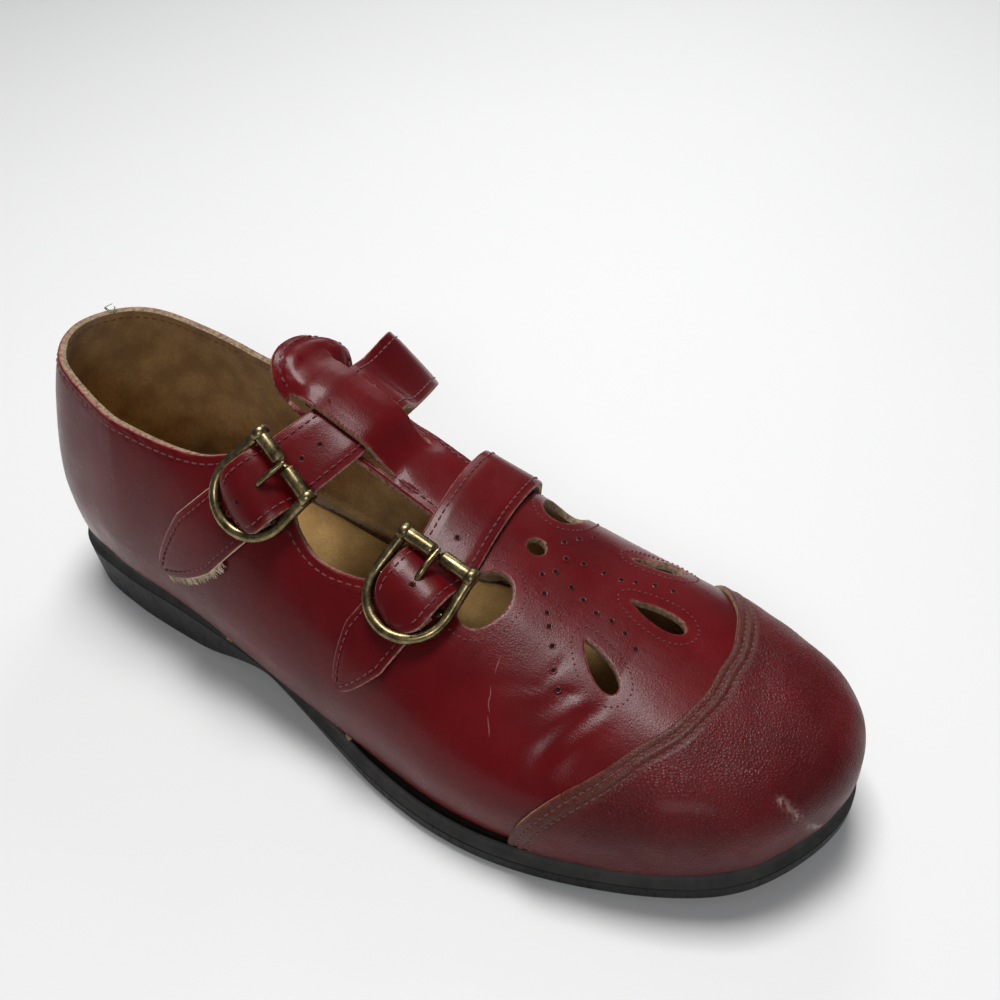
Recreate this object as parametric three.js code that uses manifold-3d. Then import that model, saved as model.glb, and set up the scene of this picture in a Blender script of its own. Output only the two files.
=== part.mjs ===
// A right mary jane shoe with a T bar, two buckled straps and a moulded rubber sole.
// Millimetres, +Z up, the toe toward -Y, the outer (buckle) side toward -X.
// The origin is under the middle of the sole.

import * as THREE from 'three';
import { mergeVertices } from 'three/addons/utils/BufferGeometryUtils.js';
import loadManifold from 'manifold-3d';

const wasm = await loadManifold();
wasm.setup();

// Driving sizes of the last
const LAST_LENGTH = 250;
const BALL_WIDTH = 88;
const CONE_HEIGHT = 124;
const HEEL_SEAT_HEIGHT = 20;
const BULGE_HEIGHT = 12.6;
const BULGE_DEPTH = 3;
const SHOULDER = 12;

// Driving sizes of the leather and its fit
const WALL = 2;
const CAP_THICKNESS = 1.2;
const CAP_EDGE_HEIGHT = 40;
const STRAP_THICKNESS = 1.8;
const TAB_THICKNESS = 1.4;
const INSOLE_THICKNESS = 2.5;
const INSOLE_BEVEL = 0.8;
const GAP = 0.3;

// Driving sizes of the sole
const SOLE_THICKNESS = 8.5;
const SOLE_PROJECTION = 3;
const TOE_SPRING = 7.9;
const SHANK_HEIGHT = 9.3;
const BEVEL_WIDTH = 2.4;
const BEVEL_HEIGHT = 3;
const SOLE_EDGE_RADIUS = 1.2;
const HEEL_TAPER = 1.9;

// Driving sizes of the opening, T bar and cut-outs
const COLLAR_HEIGHT = 88;
const T_BAR_WIDTH = 24;
const BRIDGE_WIDTH = 16.5;
const SLIT_WIDTH = 1.2;
const BRIDGE_SINK = 0.15;
const PUNCHED_HOLE_WIDTH = 5.4;
const TEARDROP_LENGTH = 16;
const TEARDROP_WIDTH = 6;
const SIDE_HOLE_LENGTH = 11.5;
const SIDE_HOLE_WIDTH = 17;

// Driving sizes of the straps and buckles
const STRAP_WIDTH = 16.6;
const TAB_WIDTH = 15;
const BUCKLE_WIDTH = 22.4;
const BAR_LENGTH = 24;
const BUCKLE_WIRE = 2.6;
const BAR_WIDTH = 4.2;
const BAR_GROOVE = 1;
const BAR_SPACING = 12;
const CENTRE_BAR_WIDTH = 2;
const LOOP_THICKNESS = 1;
const PRONG_WIDTH = 1.8;
const PRONG_OVERHANG = 1.6;
const STRAIGHT_BAR_RISE = 1.9;
const BAR_GROOVE_LENGTH = 2.8;
const REAR_TAB_LENGTH = 59;
const FRONT_TAB_LENGTH = 36;

// The last's lower edge from above, as shares of LAST_LENGTH from the heel and of BALL_WIDTH
const OUTLINE = [
  { at: 0, across: -0.02 },
  { at: 0.035, across: -0.23 },
  { at: 0.12, across: -0.31 },
  { at: 0.24, across: -0.35 },
  { at: 0.4, across: -0.405 },
  { at: 0.52, across: -0.455 },
  { at: 0.64, across: -0.505 },
  { at: 0.75, across: -0.49 },
  { at: 0.87, across: -0.395 },
  { at: 0.95, across: -0.24 },
  { at: 0.992, across: 0.045 },
  { at: 0.958, across: 0.28 },
  { at: 0.865, across: 0.405 },
  { at: 0.75, across: 0.475 },
  { at: 0.66, across: 0.47 },
  { at: 0.52, across: 0.38 },
  { at: 0.4, across: 0.31 },
  { at: 0.24, across: 0.325 },
  { at: 0.12, across: 0.33 },
  { at: 0.035, across: 0.23 },
];

// The last's top line from the side: height as a share of CONE_HEIGHT, across as one of BALL_WIDTH
const RIDGE = [
  { at: 0.17, height: 1, across: 0.02 },
  { at: 0.28, height: 0.8, across: 0.085 },
  { at: 0.38, height: 0.675, across: 0.112 },
  { at: 0.46, height: 0.6, across: 0.114 },
  { at: 0.54, height: 0.535, across: 0.112 },
  { at: 0.62, height: 0.478, across: 0.104 },
  { at: 0.7, height: 0.428, across: 0.1 },
  { at: 0.78, height: 0.39, across: 0.11 },
];

// The side walls: bulge beyond the outline as a share of BULGE_DEPTH, how high it sits as one of BULGE_HEIGHT,
// the power of the section's arc, and how far the instep is filled out on the inner side as a share of SHOULDER
const SECTION = [
  { at: 0, rise: 1.9, outerBulge: 0.9, innerBulge: 0.9, outerArc: 1.5, innerArc: 1.5, shoulder: 0 },
  { at: 0.2, rise: 1.05, outerBulge: 1, innerBulge: 0.7, outerArc: 1.42, innerArc: 1, shoulder: 0 },
  { at: 0.3, rise: 1, outerBulge: 1.1, innerBulge: 0.7, outerArc: 1.31, innerArc: 0.75, shoulder: 0.8 },
  { at: 0.4, rise: 1, outerBulge: 1.2, innerBulge: 0.7, outerArc: 1.2, innerArc: 0.62, shoulder: 1 },
  { at: 0.55, rise: 0.98, outerBulge: 0.7, innerBulge: 0.7, outerArc: 1, innerArc: 0.75, shoulder: 0.3 },
  { at: 0.7, rise: 0.9, outerBulge: 0.8, innerBulge: 0.7, outerArc: 0.9, innerArc: 0.9, shoulder: 0 },
  { at: 0.85, rise: 0.83, outerBulge: 0.75, innerBulge: 0.75, outerArc: 0.83, innerArc: 0.83, shoulder: 0 },
  { at: 1, rise: 0.75, outerBulge: 0.9, innerBulge: 0.9, outerArc: 0.78, innerArc: 0.78, shoulder: 0 },
];

// How far the sole's edge stands out from the last, as a share of SOLE_PROJECTION
const SOLE_EDGE = [
  { at: 0, outer: 0.9, inner: 0.9 },
  { at: 0.12, outer: 0.6, inner: 0.6 },
  { at: 0.24, outer: 0.35, inner: 0.35 },
  { at: 0.36, outer: -0.1, inner: -0.05 },
  { at: 0.4, outer: 0.1, inner: -0.1 },
  { at: 0.45, outer: 0.52, inner: 0.05 },
  { at: 0.5, outer: 0.98, inner: 0.25 },
  { at: 0.55, outer: 1.4, inner: 0.45 },
  { at: 0.66, outer: 1.55, inner: 1 },
  { at: 0.75, outer: 1.3, inner: 1.05 },
  { at: 0.85, outer: 1.08, inner: 1.05 },
  { at: 1, outer: 1.4, inner: 1.4 },
];

// The sole's underside between heel and ball, as a share of SHANK_HEIGHT
const SOLE_ARCH = [
  { at: 0, height: 0 },
  { at: 0.2, height: 0 },
  { at: 0.225, height: 0.02 },
  { at: 0.25, height: 0.1 },
  { at: 0.275, height: 0.28 },
  { at: 0.305, height: 0.58 },
  { at: 0.335, height: 0.84 },
  { at: 0.36, height: 0.98 },
  { at: 0.38, height: 0.96 },
  { at: 0.4, height: 0.82 },
  { at: 0.432, height: 0.59 },
  { at: 0.464, height: 0.4 },
  { at: 0.5, height: 0.21 },
  { at: 0.53, height: 0.08 },
  { at: 0.56, height: 0.01 },
  { at: 0.6, height: 0 },
  { at: 1, height: 0 },
];

// The top line and the bottom of the side openings, as shares of COLLAR_HEIGHT
const OUTER_TOP_LINE = [
  { at: -0.03, height: 1 },
  { at: 0.02, height: 0.995 },
  { at: 0.06, height: 0.975 },
  { at: 0.12, height: 0.925 },
  { at: 0.18, height: 0.885 },
  { at: 0.24, height: 0.858 },
  { at: 0.29, height: 0.852 },
  { at: 0.33, height: 0.872 },
  { at: 0.365, height: 0.88 },
  { at: 0.385, height: 0.85 },
  { at: 0.402, height: 0.79 },
  { at: 0.42, height: 0.725 },
  { at: 0.452, height: 0.672 },
  { at: 0.49, height: 0.655 },
  { at: 0.525, height: 0.66 },
  { at: 0.545, height: 0.7 },
  { at: 0.555, height: 0.8 },
];
const INNER_TOP_LINE = [
  { at: -0.03, height: 1 },
  { at: 0.02, height: 0.99 },
  { at: 0.06, height: 0.935 },
  { at: 0.12, height: 0.855 },
  { at: 0.18, height: 0.81 },
  { at: 0.24, height: 0.793 },
  { at: 0.29, height: 0.795 },
  { at: 0.33, height: 0.805 },
  { at: 0.36, height: 0.79 },
  { at: 0.385, height: 0.73 },
  { at: 0.42, height: 0.67 },
  { at: 0.46, height: 0.64 },
  { at: 0.5, height: 0.635 },
  { at: 0.53, height: 0.65 },
  { at: 0.547, height: 0.7 },
  { at: 0.555, height: 0.8 },
];

// The T bar's outline behind the vamp, its sides as shares of half of T_BAR_WIDTH
const T_BAR = [
  { at: 0.6, outer: 1, inner: 1 },
  { at: 0.4, outer: 1, inner: 1 },
  { at: 0.375, outer: 0.98, inner: 1.12 },
  { at: 0.358, outer: 0.94, inner: 1.42 },
  { at: 0.34, outer: 0.85, inner: 1.55 },
  { at: 0.324, outer: 0.58, inner: 1.35 },
  { at: 0.314, outer: 0.15, inner: 0.85 },
];
const SLITS = { from: 0.354, to: 0.482 };
const OPENING_FRONT = 0.558;

// Cut-outs in the vamp: places as shares of LAST_LENGTH and BALL_WIDTH, turns in degrees
const PUNCHED_HOLE = { at: 0.639, across: 0.09 };
const SIDE_HOLES = [
  { at: 0.628, across: -0.148, turn: 12 },
  { at: 0.625, across: 0.33, turn: -12 },
];
const TEARDROPS = [
  { at: 0.757, across: -0.135, turn: 33 },
  { at: 0.778, across: 0.105, turn: 0 },
  { at: 0.742, across: 0.32, turn: -33 },
];
const CAP_EDGE = { at: 0.853, across: 0.02, bend: 0.283, lean: 0.38, reach: 0.8 };

// Where each strap crosses, in from its sewn end: girth from the ridge as a share of BALL_WIDTH
const REAR_STRAP = [
  { at: 0.302, girth: 0.57, lift: 0 },
  { at: 0.318, girth: 0.515, lift: 0.3 },
  { at: 0.335, girth: 0.46, lift: 1.6 },
  { at: 0.35, girth: 0.405, lift: 5 },
  { at: 0.366, girth: 0.34, lift: 9 },
  { at: 0.381, girth: 0.275, lift: 7.6 },
  { at: 0.394, girth: 0.2, lift: 1.8 },
  { at: 0.403, girth: 0.12, lift: 0.3 },
  { at: 0.41, girth: 0, lift: 0 },
  { at: 0.412, girth: -0.11, lift: 0 },
];
const FRONT_STRAP = [
  { at: 0.527, girth: 0.5, lift: 0 },
  { at: 0.535, girth: 0.42, lift: 0 },
  { at: 0.545, girth: 0.32, lift: 0.3 },
  { at: 0.555, girth: 0.21, lift: 0.8 },
  { at: 0.563, girth: 0.08, lift: 0 },
  { at: 0.57, girth: -0.09, lift: 0 },
];
const BUCKLES = {
  rear: { at: 0.367, girth: -0.412, turn: 28 },
  front: { at: 0.5645, girth: -0.376, turn: 10 },
};
const TABS = {
  rear: { length: REAR_TAB_LENGTH, turn: 33 },
  front: { length: FRONT_TAB_LENGTH, turn: 21 },
};

// Mesh fineness
const OUTLINE_STEPS = 4;
const HEEL_FAN = 5;
const MIDDLE_STEPS = 17;
const TOE_FAN = 8;
const ARC_STEPS = 9;
const TUCK_STEPS = 3;
const PROFILE_STEPS = 40;
const BRIDGE_STEPS = 18;
const STRAP_STEPS = 30;
const TAB_STEPS = 16;
const RING_STEPS = 8;
const GIRTH_STEPS = 60;
const HEEL_POLE = RIDGE[0].at;
const TOE_POLE = RIDGE[RIDGE.length - 1].at;

function readTable(table, at, column) {
  const last = table.length - 1;
  const x = Math.min(Math.max(at, table[0].at), table[last].at);
  const slope = (i) => {
    const a = table[Math.max(i - 1, 0)];
    const b = table[Math.min(i + 1, last)];
    return (b[column] - a[column]) / (b.at - a.at);
  };
  let i = 0;
  while (i < last - 1 && x > table[i + 1].at) i += 1;
  const step = table[i + 1].at - table[i].at;
  const t = (x - table[i].at) / step;
  const rise = table[i][column] * (2 * t ** 3 - 3 * t ** 2 + 1) + table[i + 1][column] * (3 * t ** 2 - 2 * t ** 3);
  return rise + slope(i) * step * (t ** 3 - 2 * t ** 2 + t) + slope(i + 1) * step * (t ** 3 - t ** 2);
}

function closedSpline(rows, steps) {
  const points = rows.map((row) => new THREE.Vector3(row.at * LAST_LENGTH, row.across * BALL_WIDTH, 0));
  const loop = [];
  points.forEach((point, i) => {
    const [before, next, after] = [-1, 1, 2].map((k) => points[(i + k + points.length) % points.length]);
    for (let k = 0; k < steps; k += 1) {
      const t = k / steps;
      const blend = (a, b, c, d) =>
        0.5 * (2 * b + (c - a) * t + (2 * a - 5 * b + 4 * c - d) * t ** 2 + (3 * b - a - 3 * c + d) * t ** 3);
      const along = blend(before.x, point.x, next.x, after.x);
      loop.push({ along, across: blend(before.y, point.y, next.y, after.y) });
    }
  });
  return loop;
}

const lastLoop = closedSpline(OUTLINE, OUTLINE_STEPS);

function offsetLoop(out) {
  const count = lastLoop.length;
  return lastLoop.map((point, i) => {
    const a = lastLoop[(i + count - 1) % count];
    const b = lastLoop[(i + 1) % count];
    const size = Math.hypot(b.along - a.along, b.across - a.across);
    const reach = out(point.along / LAST_LENGTH, i < count / 2 ? 'outer' : 'inner');
    const along = point.along + (reach * (b.across - a.across)) / size;
    return { along, across: point.across - (reach * (b.along - a.along)) / size };
  });
}

const soleEdge = (at, side) => readTable(SOLE_EDGE, at, side) * SOLE_PROJECTION;
const soleLoop = offsetLoop(soleEdge);
const middle = {
  along: (Math.min(...soleLoop.map((p) => p.along)) + Math.max(...soleLoop.map((p) => p.along))) / 2,
  across: (Math.min(...soleLoop.map((p) => p.across)) + Math.max(...soleLoop.map((p) => p.across))) / 2,
};
const place = (along, across, height) =>
  new THREE.Vector3(across - middle.across, middle.along - along, height);

const ease = (t) => {
  const c = Math.min(Math.max(t, 0), 1);
  return c * c * (3 - 2 * c);
};
const springAt = (at) => TOE_SPRING * Math.max(0, (at - 0.68) / 0.32) ** 2;

function lastEdgeHeight(along) {
  const at = along / LAST_LENGTH;
  return HEEL_SEAT_HEIGHT + (SOLE_THICKNESS - HEEL_SEAT_HEIGHT) * ease((at - 0.2) / 0.4) + springAt(at);
}

function reachOf(pole, way) {
  let nearest = Infinity;
  lastLoop.forEach((a, i) => {
    const b = lastLoop[(i + 1) % lastLoop.length];
    const edge = { along: b.along - a.along, across: b.across - a.across };
    const from = { along: a.along - pole.along, across: a.across - pole.across };
    const turn = way.along * edge.across - way.across * edge.along;
    const distance = (from.along * edge.across - from.across * edge.along) / turn;
    const share = (from.along * way.across - from.across * way.along) / turn;
    if (distance > 0 && share > -1e-9 && share < 1 + 1e-9) nearest = Math.min(nearest, distance);
  });
  return nearest;
}

function generator(at, way, side) {
  const pole = { along: at * LAST_LENGTH, across: readTable(RIDGE, at, 'across') * BALL_WIDTH };
  const reach = reachOf(pole, way);
  const foot = (pole.along + way.along * reach) / LAST_LENGTH;
  const step = 0.01;
  const fall = readTable(RIDGE, TOE_POLE, 'height') - readTable(RIDGE, TOE_POLE - step, 'height');
  return {
    pole,
    way,
    reach,
    top: readTable(RIDGE, at, 'height') * CONE_HEIGHT,
    edge: lastEdgeHeight(foot * LAST_LENGTH),
    bulge: readTable(SECTION, foot, side < 0 ? 'outerBulge' : 'innerBulge') * BULGE_DEPTH,
    arc: readTable(SECTION, foot, side < 0 ? 'outerArc' : 'innerArc'),
    shoulder: side < 0 ? 0 : readTable(SECTION, foot, 'shoulder') * SHOULDER,
    lift: readTable(SECTION, foot, 'rise') * BULGE_HEIGHT,
    slope: Math.max(way.along, 0) * ((fall * CONE_HEIGHT) / (step * LAST_LENGTH)),
  };
}

// A point on the last's side wall: arc runs from 1 at the ridge to 0 at the widest, tuck on to 1 at the edge
function wallPoint(line, arc, tuck, grow) {
  const half = line.reach + line.bulge + grow;
  const waist = line.edge + line.lift;
  const angle = (arc * Math.PI) / 2;
  let out = half * Math.cos(angle);
  let height = waist + (line.top + grow - waist) * Math.sin(angle) ** line.arc;
  const share = out / half;
  height += line.slope * out * (1 - share) + line.shoulder * share ** 2 * (1 - share ** 4);
  if (tuck > 0) {
    out = line.reach + grow + line.bulge * Math.cos((tuck * Math.PI) / 2);
    height = waist - line.lift * Math.sin((tuck * Math.PI) / 2);
  }
  return place(line.pole.along + line.way.along * out, line.pole.across + line.way.across * out, height);
}

function sideGenerators(side) {
  const lines = [];
  for (let i = 0; i < HEEL_FAN; i += 1) {
    const turn = (i / HEEL_FAN) * (Math.PI / 2);
    lines.push(generator(HEEL_POLE, { along: -Math.cos(turn), across: side * Math.sin(turn) }, side));
  }
  for (let i = 0; i <= MIDDLE_STEPS; i += 1) {
    const at = HEEL_POLE + ((TOE_POLE - HEEL_POLE) * i) / MIDDLE_STEPS;
    lines.push(generator(at, { along: 0, across: side }, side));
  }
  for (let i = TOE_FAN - 1; i >= 0; i -= 1) {
    const turn = (i / TOE_FAN) * (Math.PI / 2);
    lines.push(generator(TOE_POLE, { along: Math.cos(turn), across: side * Math.sin(turn) }, side));
  }
  return lines;
}

const outerLines = sideGenerators(-1);
const innerLines = sideGenerators(1);
const ringLines = [...outerLines, ...innerLines.slice(1, -1).reverse()];

// Collects triangles with shared points
class Skin {
  constructor() {
    this.points = [];
    this.faces = [];
    this.index = new Map();
  }

  point(p) {
    const key = [p.x, p.y, p.z].map((v) => Math.round(v * 1e4)).join();
    if (!this.index.has(key)) {
      this.index.set(key, this.points.length);
      this.points.push(p);
    }
    return this.index.get(key);
  }

  triangle(a, b, c) {
    const [i, j, k] = [a, b, c].map((p) => this.point(p));
    if (i !== j && j !== k && k !== i) this.faces.push(i, j, k);
  }

  quad(a, b, c, d) {
    this.triangle(a, b, c);
    this.triangle(a, c, d);
  }

  // Joins neighbouring rows of points, as rings where closed is true
  rows(list, closed) {
    for (let j = 0; j + 1 < list.length; j += 1) {
      const count = closed ? list[j].length : list[j].length - 1;
      for (let i = 0; i < count; i += 1) {
        const k = (i + 1) % list[j].length;
        this.quad(list[j][i], list[j][k], list[j + 1][k], list[j + 1][i]);
      }
    }
  }

  // Closes a ring whose points i and count - i face each other across the shoe
  lid(ring, flip) {
    const count = ring.length;
    for (let i = 0; i < count / 2; i += 1) {
      const [a, b, c, d] = [ring[i], ring[i + 1], ring[(count - i - 1) % count], ring[(count - i) % count]];
      if (flip) this.quad(d, c, b, a);
      else this.quad(a, b, c, d);
    }
  }

  geometry() {
    const geometry = new THREE.BufferGeometry();
    const flat = this.points.flatMap((p) => [p.x, p.y, p.z]);
    geometry.setAttribute('position', new THREE.Float32BufferAttribute(flat, 3));
    geometry.setIndex(this.faces);
    return geometry;
  }
}

function solidFrom(geometry) {
  const bare = geometry.clone();
  bare.deleteAttribute('normal');
  bare.deleteAttribute('uv');
  const merged = mergeVertices(bare, 1e-4);
  const vertProperties = new Float32Array(merged.attributes.position.array);
  const triVerts = new Uint32Array(merged.index.array);
  const solid = new wasm.Manifold(new wasm.Mesh({ numProp: 3, vertProperties, triVerts }));
  if (solid.volume() > 0) return solid;
  for (let i = 0; i < triVerts.length; i += 3) [triVerts[i], triVerts[i + 1]] = [triVerts[i + 1], triVerts[i]];
  return new wasm.Manifold(new wasm.Mesh({ numProp: 3, vertProperties, triVerts }));
}

function geometryFrom(solid) {
  const mesh = solid.getMesh();
  const geometry = new THREE.BufferGeometry();
  geometry.setAttribute('position', new THREE.Float32BufferAttribute(mesh.vertProperties, 3));
  geometry.setIndex(Array.from(mesh.triVerts));
  return geometry;
}

// The last grown by a distance, closed underneath, its lower rim moved down by drop
function lastForm(grow, drop) {
  const rings = [];
  for (let j = 0; j <= ARC_STEPS; j += 1) {
    rings.push(ringLines.map((line) => wallPoint(line, 1 - j / ARC_STEPS, 0, grow)));
  }
  for (let j = 1; j <= TUCK_STEPS; j += 1) {
    rings.push(ringLines.map((line) => wallPoint(line, 0, j / TUCK_STEPS, grow)));
  }
  if (drop > 0) {
    rings.push(rings[rings.length - 1].map((p) => new THREE.Vector3(p.x, p.y, p.z - drop)));
  }
  const skin = new Skin();
  skin.rows(rings, true);
  skin.lid(rings[rings.length - 1], false);
  return solidFrom(skin.geometry());
}

// A solid standing on Z over an outline of along, across pairs
function uprightPrism(outline, low, high, lean) {
  const shape = new THREE.Shape(outline.map((p) => {
    const spot = place(p.along, p.across, 0);
    return new THREE.Vector2(spot.x, spot.y);
  }));
  const geometry = new THREE.ExtrudeGeometry(shape, { depth: high - low, bevelEnabled: false });
  geometry.translate(0, 0, low);
  if (lean) geometry.applyMatrix4(lean);
  return solidFrom(geometry);
}

// A solid running across the shoe behind a side view of along, height pairs
function crosswisePrism(profile, from, to) {
  const shape = new THREE.Shape(profile.map((p) => new THREE.Vector2(p.along, p.height)));
  const geometry = new THREE.ExtrudeGeometry(shape, { depth: to - from, bevelEnabled: false });
  const turn = new THREE.Matrix4().makeBasis(
    new THREE.Vector3(0, -1, 0),
    new THREE.Vector3(0, 0, 1),
    new THREE.Vector3(-1, 0, 0),
  );
  geometry.applyMatrix4(turn);
  const corner = place(0, to, 0);
  geometry.translate(corner.x, corner.y, 0);
  return solidFrom(geometry);
}

const HIGH = CONE_HEIGHT * 1.1;

// Finds the spot at a distance along the shoe and a girth from the ridge, outer side negative
const sections = new Map();
function sectionAt(along, side) {
  const key = `${along.toFixed(3)} ${side}`;
  if (!sections.has(key)) {
    const line = generator(along / LAST_LENGTH, { along: 0, across: side }, side);
    const steps = GIRTH_STEPS;
    const points = [];
    let girth = 0;
    for (let i = 0; i <= steps; i += 1) {
      const spot = wallPoint(line, 1 - i / steps, 0, 0);
      if (i > 0) girth += spot.distanceTo(points[i - 1].spot);
      points.push({ spot, girth });
    }
    sections.set(key, points);
  }
  return sections.get(key);
}

function spotAt(along, girth) {
  const points = sectionAt(along, girth < 0 ? -1 : 1);
  const size = Math.min(Math.abs(girth), points[points.length - 1].girth);
  let i = 1;
  while (points[i].girth < size) i += 1;
  const share = (size - points[i - 1].girth) / (points[i].girth - points[i - 1].girth);
  return points[i - 1].spot.clone().lerp(points[i].spot, share);
}

function normalAt(along, girth) {
  const step = LAST_LENGTH * 0.006;
  const lengthwise = spotAt(along + step, girth).sub(spotAt(along - step, girth));
  const crosswise = spotAt(along, girth + step).sub(spotAt(along, girth - step));
  return crosswise.cross(lengthwise).normalize().negate();
}

const raisedSpot = (along, girth, lift) => spotAt(along, girth).addScaledVector(normalAt(along, girth), lift);

// A leather strip over the last: stops hold along, girth and lift, half tells its half width
function strip(stops, thickness, half, steps) {
  const curve = new THREE.CatmullRomCurve3(
    stops.map((s) => new THREE.Vector3(s.along, s.girth, s.lift)),
    false,
    'centripetal',
  );
  const across = [-1, -0.5, 0, 0.5, 1];
  const rings = curve.getSpacedPoints(steps).map((point, i) => {
    const ahead = curve.getPointAt(Math.min((i + 0.5) / steps, 1));
    const behind = curve.getPointAt(Math.max((i - 0.5) / steps, 0));
    const size = Math.hypot(ahead.x - behind.x, ahead.y - behind.y);
    const way = { along: (ahead.y - behind.y) / size, girth: -(ahead.x - behind.x) / size };
    const width = half(i / steps, curve.getLength());
    const spot = (w, lift) => raisedSpot(point.x + way.along * w * width, point.y + way.girth * w * width, lift);
    const top = across.map((w) => spot(w, point.z + thickness));
    const bottom = across.map((w) => spot(w, point.z));
    return [...top, ...bottom.reverse()];
  });
  const skin = new Skin();
  skin.rows(rings, true);
  [rings[0], rings[rings.length - 1]].forEach((ring, end) => {
    for (let i = 0; i + 1 < across.length; i += 1) {
      const [a, b, c, d] = [ring[i], ring[i + 1], ring[ring.length - 2 - i], ring[ring.length - 1 - i]];
      if (end) skin.quad(a, b, c, d);
      else skin.quad(d, c, b, a);
    }
  });
  return solidFrom(skin.geometry());
}

function bar(width, length, matrix) {
  const geometry = new THREE.CylinderGeometry(width / 2, width / 2, length, 12);
  return solidFrom(geometry.applyMatrix4(matrix));
}

function tube(points, width, sides) {
  const path = new THREE.CatmullRomCurve3(points, false, 'centripetal');
  const section = new THREE.Shape();
  section.absarc(0, 0, width / 2, 0, Math.PI * 2, false);
  const geometry = new THREE.ExtrudeGeometry(section, {
    steps: points.length * 2,
    curveSegments: sides / 2,
    bevelEnabled: false,
    extrudePath: path,
  });
  return solidFrom(geometry);
}

function solePart() {
  const top = (p) => lastEdgeHeight(p.along) - GAP;
  const bottom = (p) => {
    const at = p.along / LAST_LENGTH;
    return SHANK_HEIGHT * Math.max(readTable(SOLE_ARCH, at, 'height'), 0) + springAt(at);
  };
  const low = (p) => bottom(p) + SOLE_EDGE_RADIUS;
  const depth = (p) => top(p) - BEVEL_HEIGHT - low(p);
  const taper = (p) => (HEEL_TAPER * Math.max(depth(p), 0)) / HEEL_SEAT_HEIGHT;
  const ring = (inset, height) => offsetLoop((at, side) => {
    const p = { along: at * LAST_LENGTH };
    return soleEdge(at, side) - inset(p);
  }).map((p, i) => place(p.along, p.across, height(lastLoop[i])));
  const sides = [
    ring(() => BEVEL_WIDTH, top),
    ring(() => BEVEL_WIDTH * 0.2, (p) => top(p) - BEVEL_HEIGHT * 0.8),
    ring(() => 0, (p) => top(p) - BEVEL_HEIGHT),
    ring((p) => taper(p) / 2, (p) => (top(p) - BEVEL_HEIGHT + low(p)) / 2),
    ring(taper, low),
    ring((p) => taper(p) + SOLE_EDGE_RADIUS, bottom),
  ];
  const skin = new Skin();
  skin.rows(sides, true);
  skin.lid(sides[0], true);
  skin.lid(sides[sides.length - 1], false);
  return solidFrom(skin.geometry());
}

function insolePart() {
  const inset = WALL + 2 * GAP;
  const rings = [inset, inset, inset + INSOLE_BEVEL].map((size, level) =>
    ringLines.map((line) => {
      const out = line.reach - size;
      const lift = [0, INSOLE_THICKNESS * 0.6, INSOLE_THICKNESS][level];
      const along = line.pole.along + line.way.along * out;
      return place(along, line.pole.across + line.way.across * out, line.edge + lift);
    }));
  rings.reverse();
  const skin = new Skin();
  skin.rows(rings, true);
  skin.lid(rings[0], true);
  skin.lid(rings[rings.length - 1], false);
  return solidFrom(skin.geometry());
}

function openingCutter() {
  const side = (table, from, to) => {
    const profile = [];
    for (let i = 0; i <= PROFILE_STEPS; i += 1) {
      const at = table[0].at + ((table[table.length - 1].at - table[0].at) * i) / PROFILE_STEPS;
      profile.push({ along: at * LAST_LENGTH, height: readTable(table, at, 'height') * COLLAR_HEIGHT });
    }
    profile.push({ along: OPENING_FRONT * LAST_LENGTH, height: HIGH });
    profile.push({ along: table[0].at * LAST_LENGTH, height: HIGH });
    return crosswisePrism(profile, from, to);
  };
  const outline = [];
  T_BAR.forEach((row) => outline.push(barSpot(row.at, -row.outer)));
  [...T_BAR].reverse().forEach((row) => outline.push(barSpot(row.at, row.inner)));
  const outerSide = side(OUTER_TOP_LINE, -BALL_WIDTH, 0.01);
  const innerSide = side(INNER_TOP_LINE, 0, BALL_WIDTH);
  return outerSide.add(innerSide).subtract(uprightPrism(outline, 0, HIGH));
}

const ridgeAcross = (at) => readTable(RIDGE, at, 'across') * BALL_WIDTH;
const barSpot = (at, half) => ({
  along: at * LAST_LENGTH,
  across: ridgeAcross(at) + (half * T_BAR_WIDTH) / 2,
});

function ovalCutter(hole, length, width, steps) {
  const turn = THREE.MathUtils.degToRad(hole.turn ?? 0);
  const outline = [];
  for (let i = 0; i < steps; i += 1) {
    const angle = (i / steps) * Math.PI * 2;
    const [a, b] = [(Math.cos(angle) * length) / 2, (Math.sin(angle) * width) / 2];
    outline.push({
      along: hole.at * LAST_LENGTH + a * Math.cos(turn) + b * Math.sin(turn),
      across: hole.across * BALL_WIDTH - a * Math.sin(turn) + b * Math.cos(turn),
    });
  }
  return uprightPrism(outline, lastEdgeHeight(hole.at * LAST_LENGTH) + BULGE_HEIGHT, HIGH);
}

// Pointed toward the heel, round toward the toe
function teardropCutter(drop) {
  const turn = THREE.MathUtils.degToRad(drop.turn);
  const steps = 16;
  const outline = [];
  for (let i = 0; i < steps; i += 1) {
    const angle = (i / steps) * Math.PI * 2;
    const a = (-Math.cos(angle) * TEARDROP_LENGTH) / 2;
    const b = ((Math.sin(angle) * TEARDROP_WIDTH) / 2) * Math.sin(angle / 2) * 1.25;
    outline.push({
      along: drop.at * LAST_LENGTH + a * Math.cos(turn) - b * Math.sin(turn),
      across: drop.across * BALL_WIDTH - a * Math.sin(turn) - b * Math.cos(turn),
    });
  }
  return uprightPrism(outline, lastEdgeHeight(drop.at * LAST_LENGTH) + BULGE_HEIGHT, HIGH);
}

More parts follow.
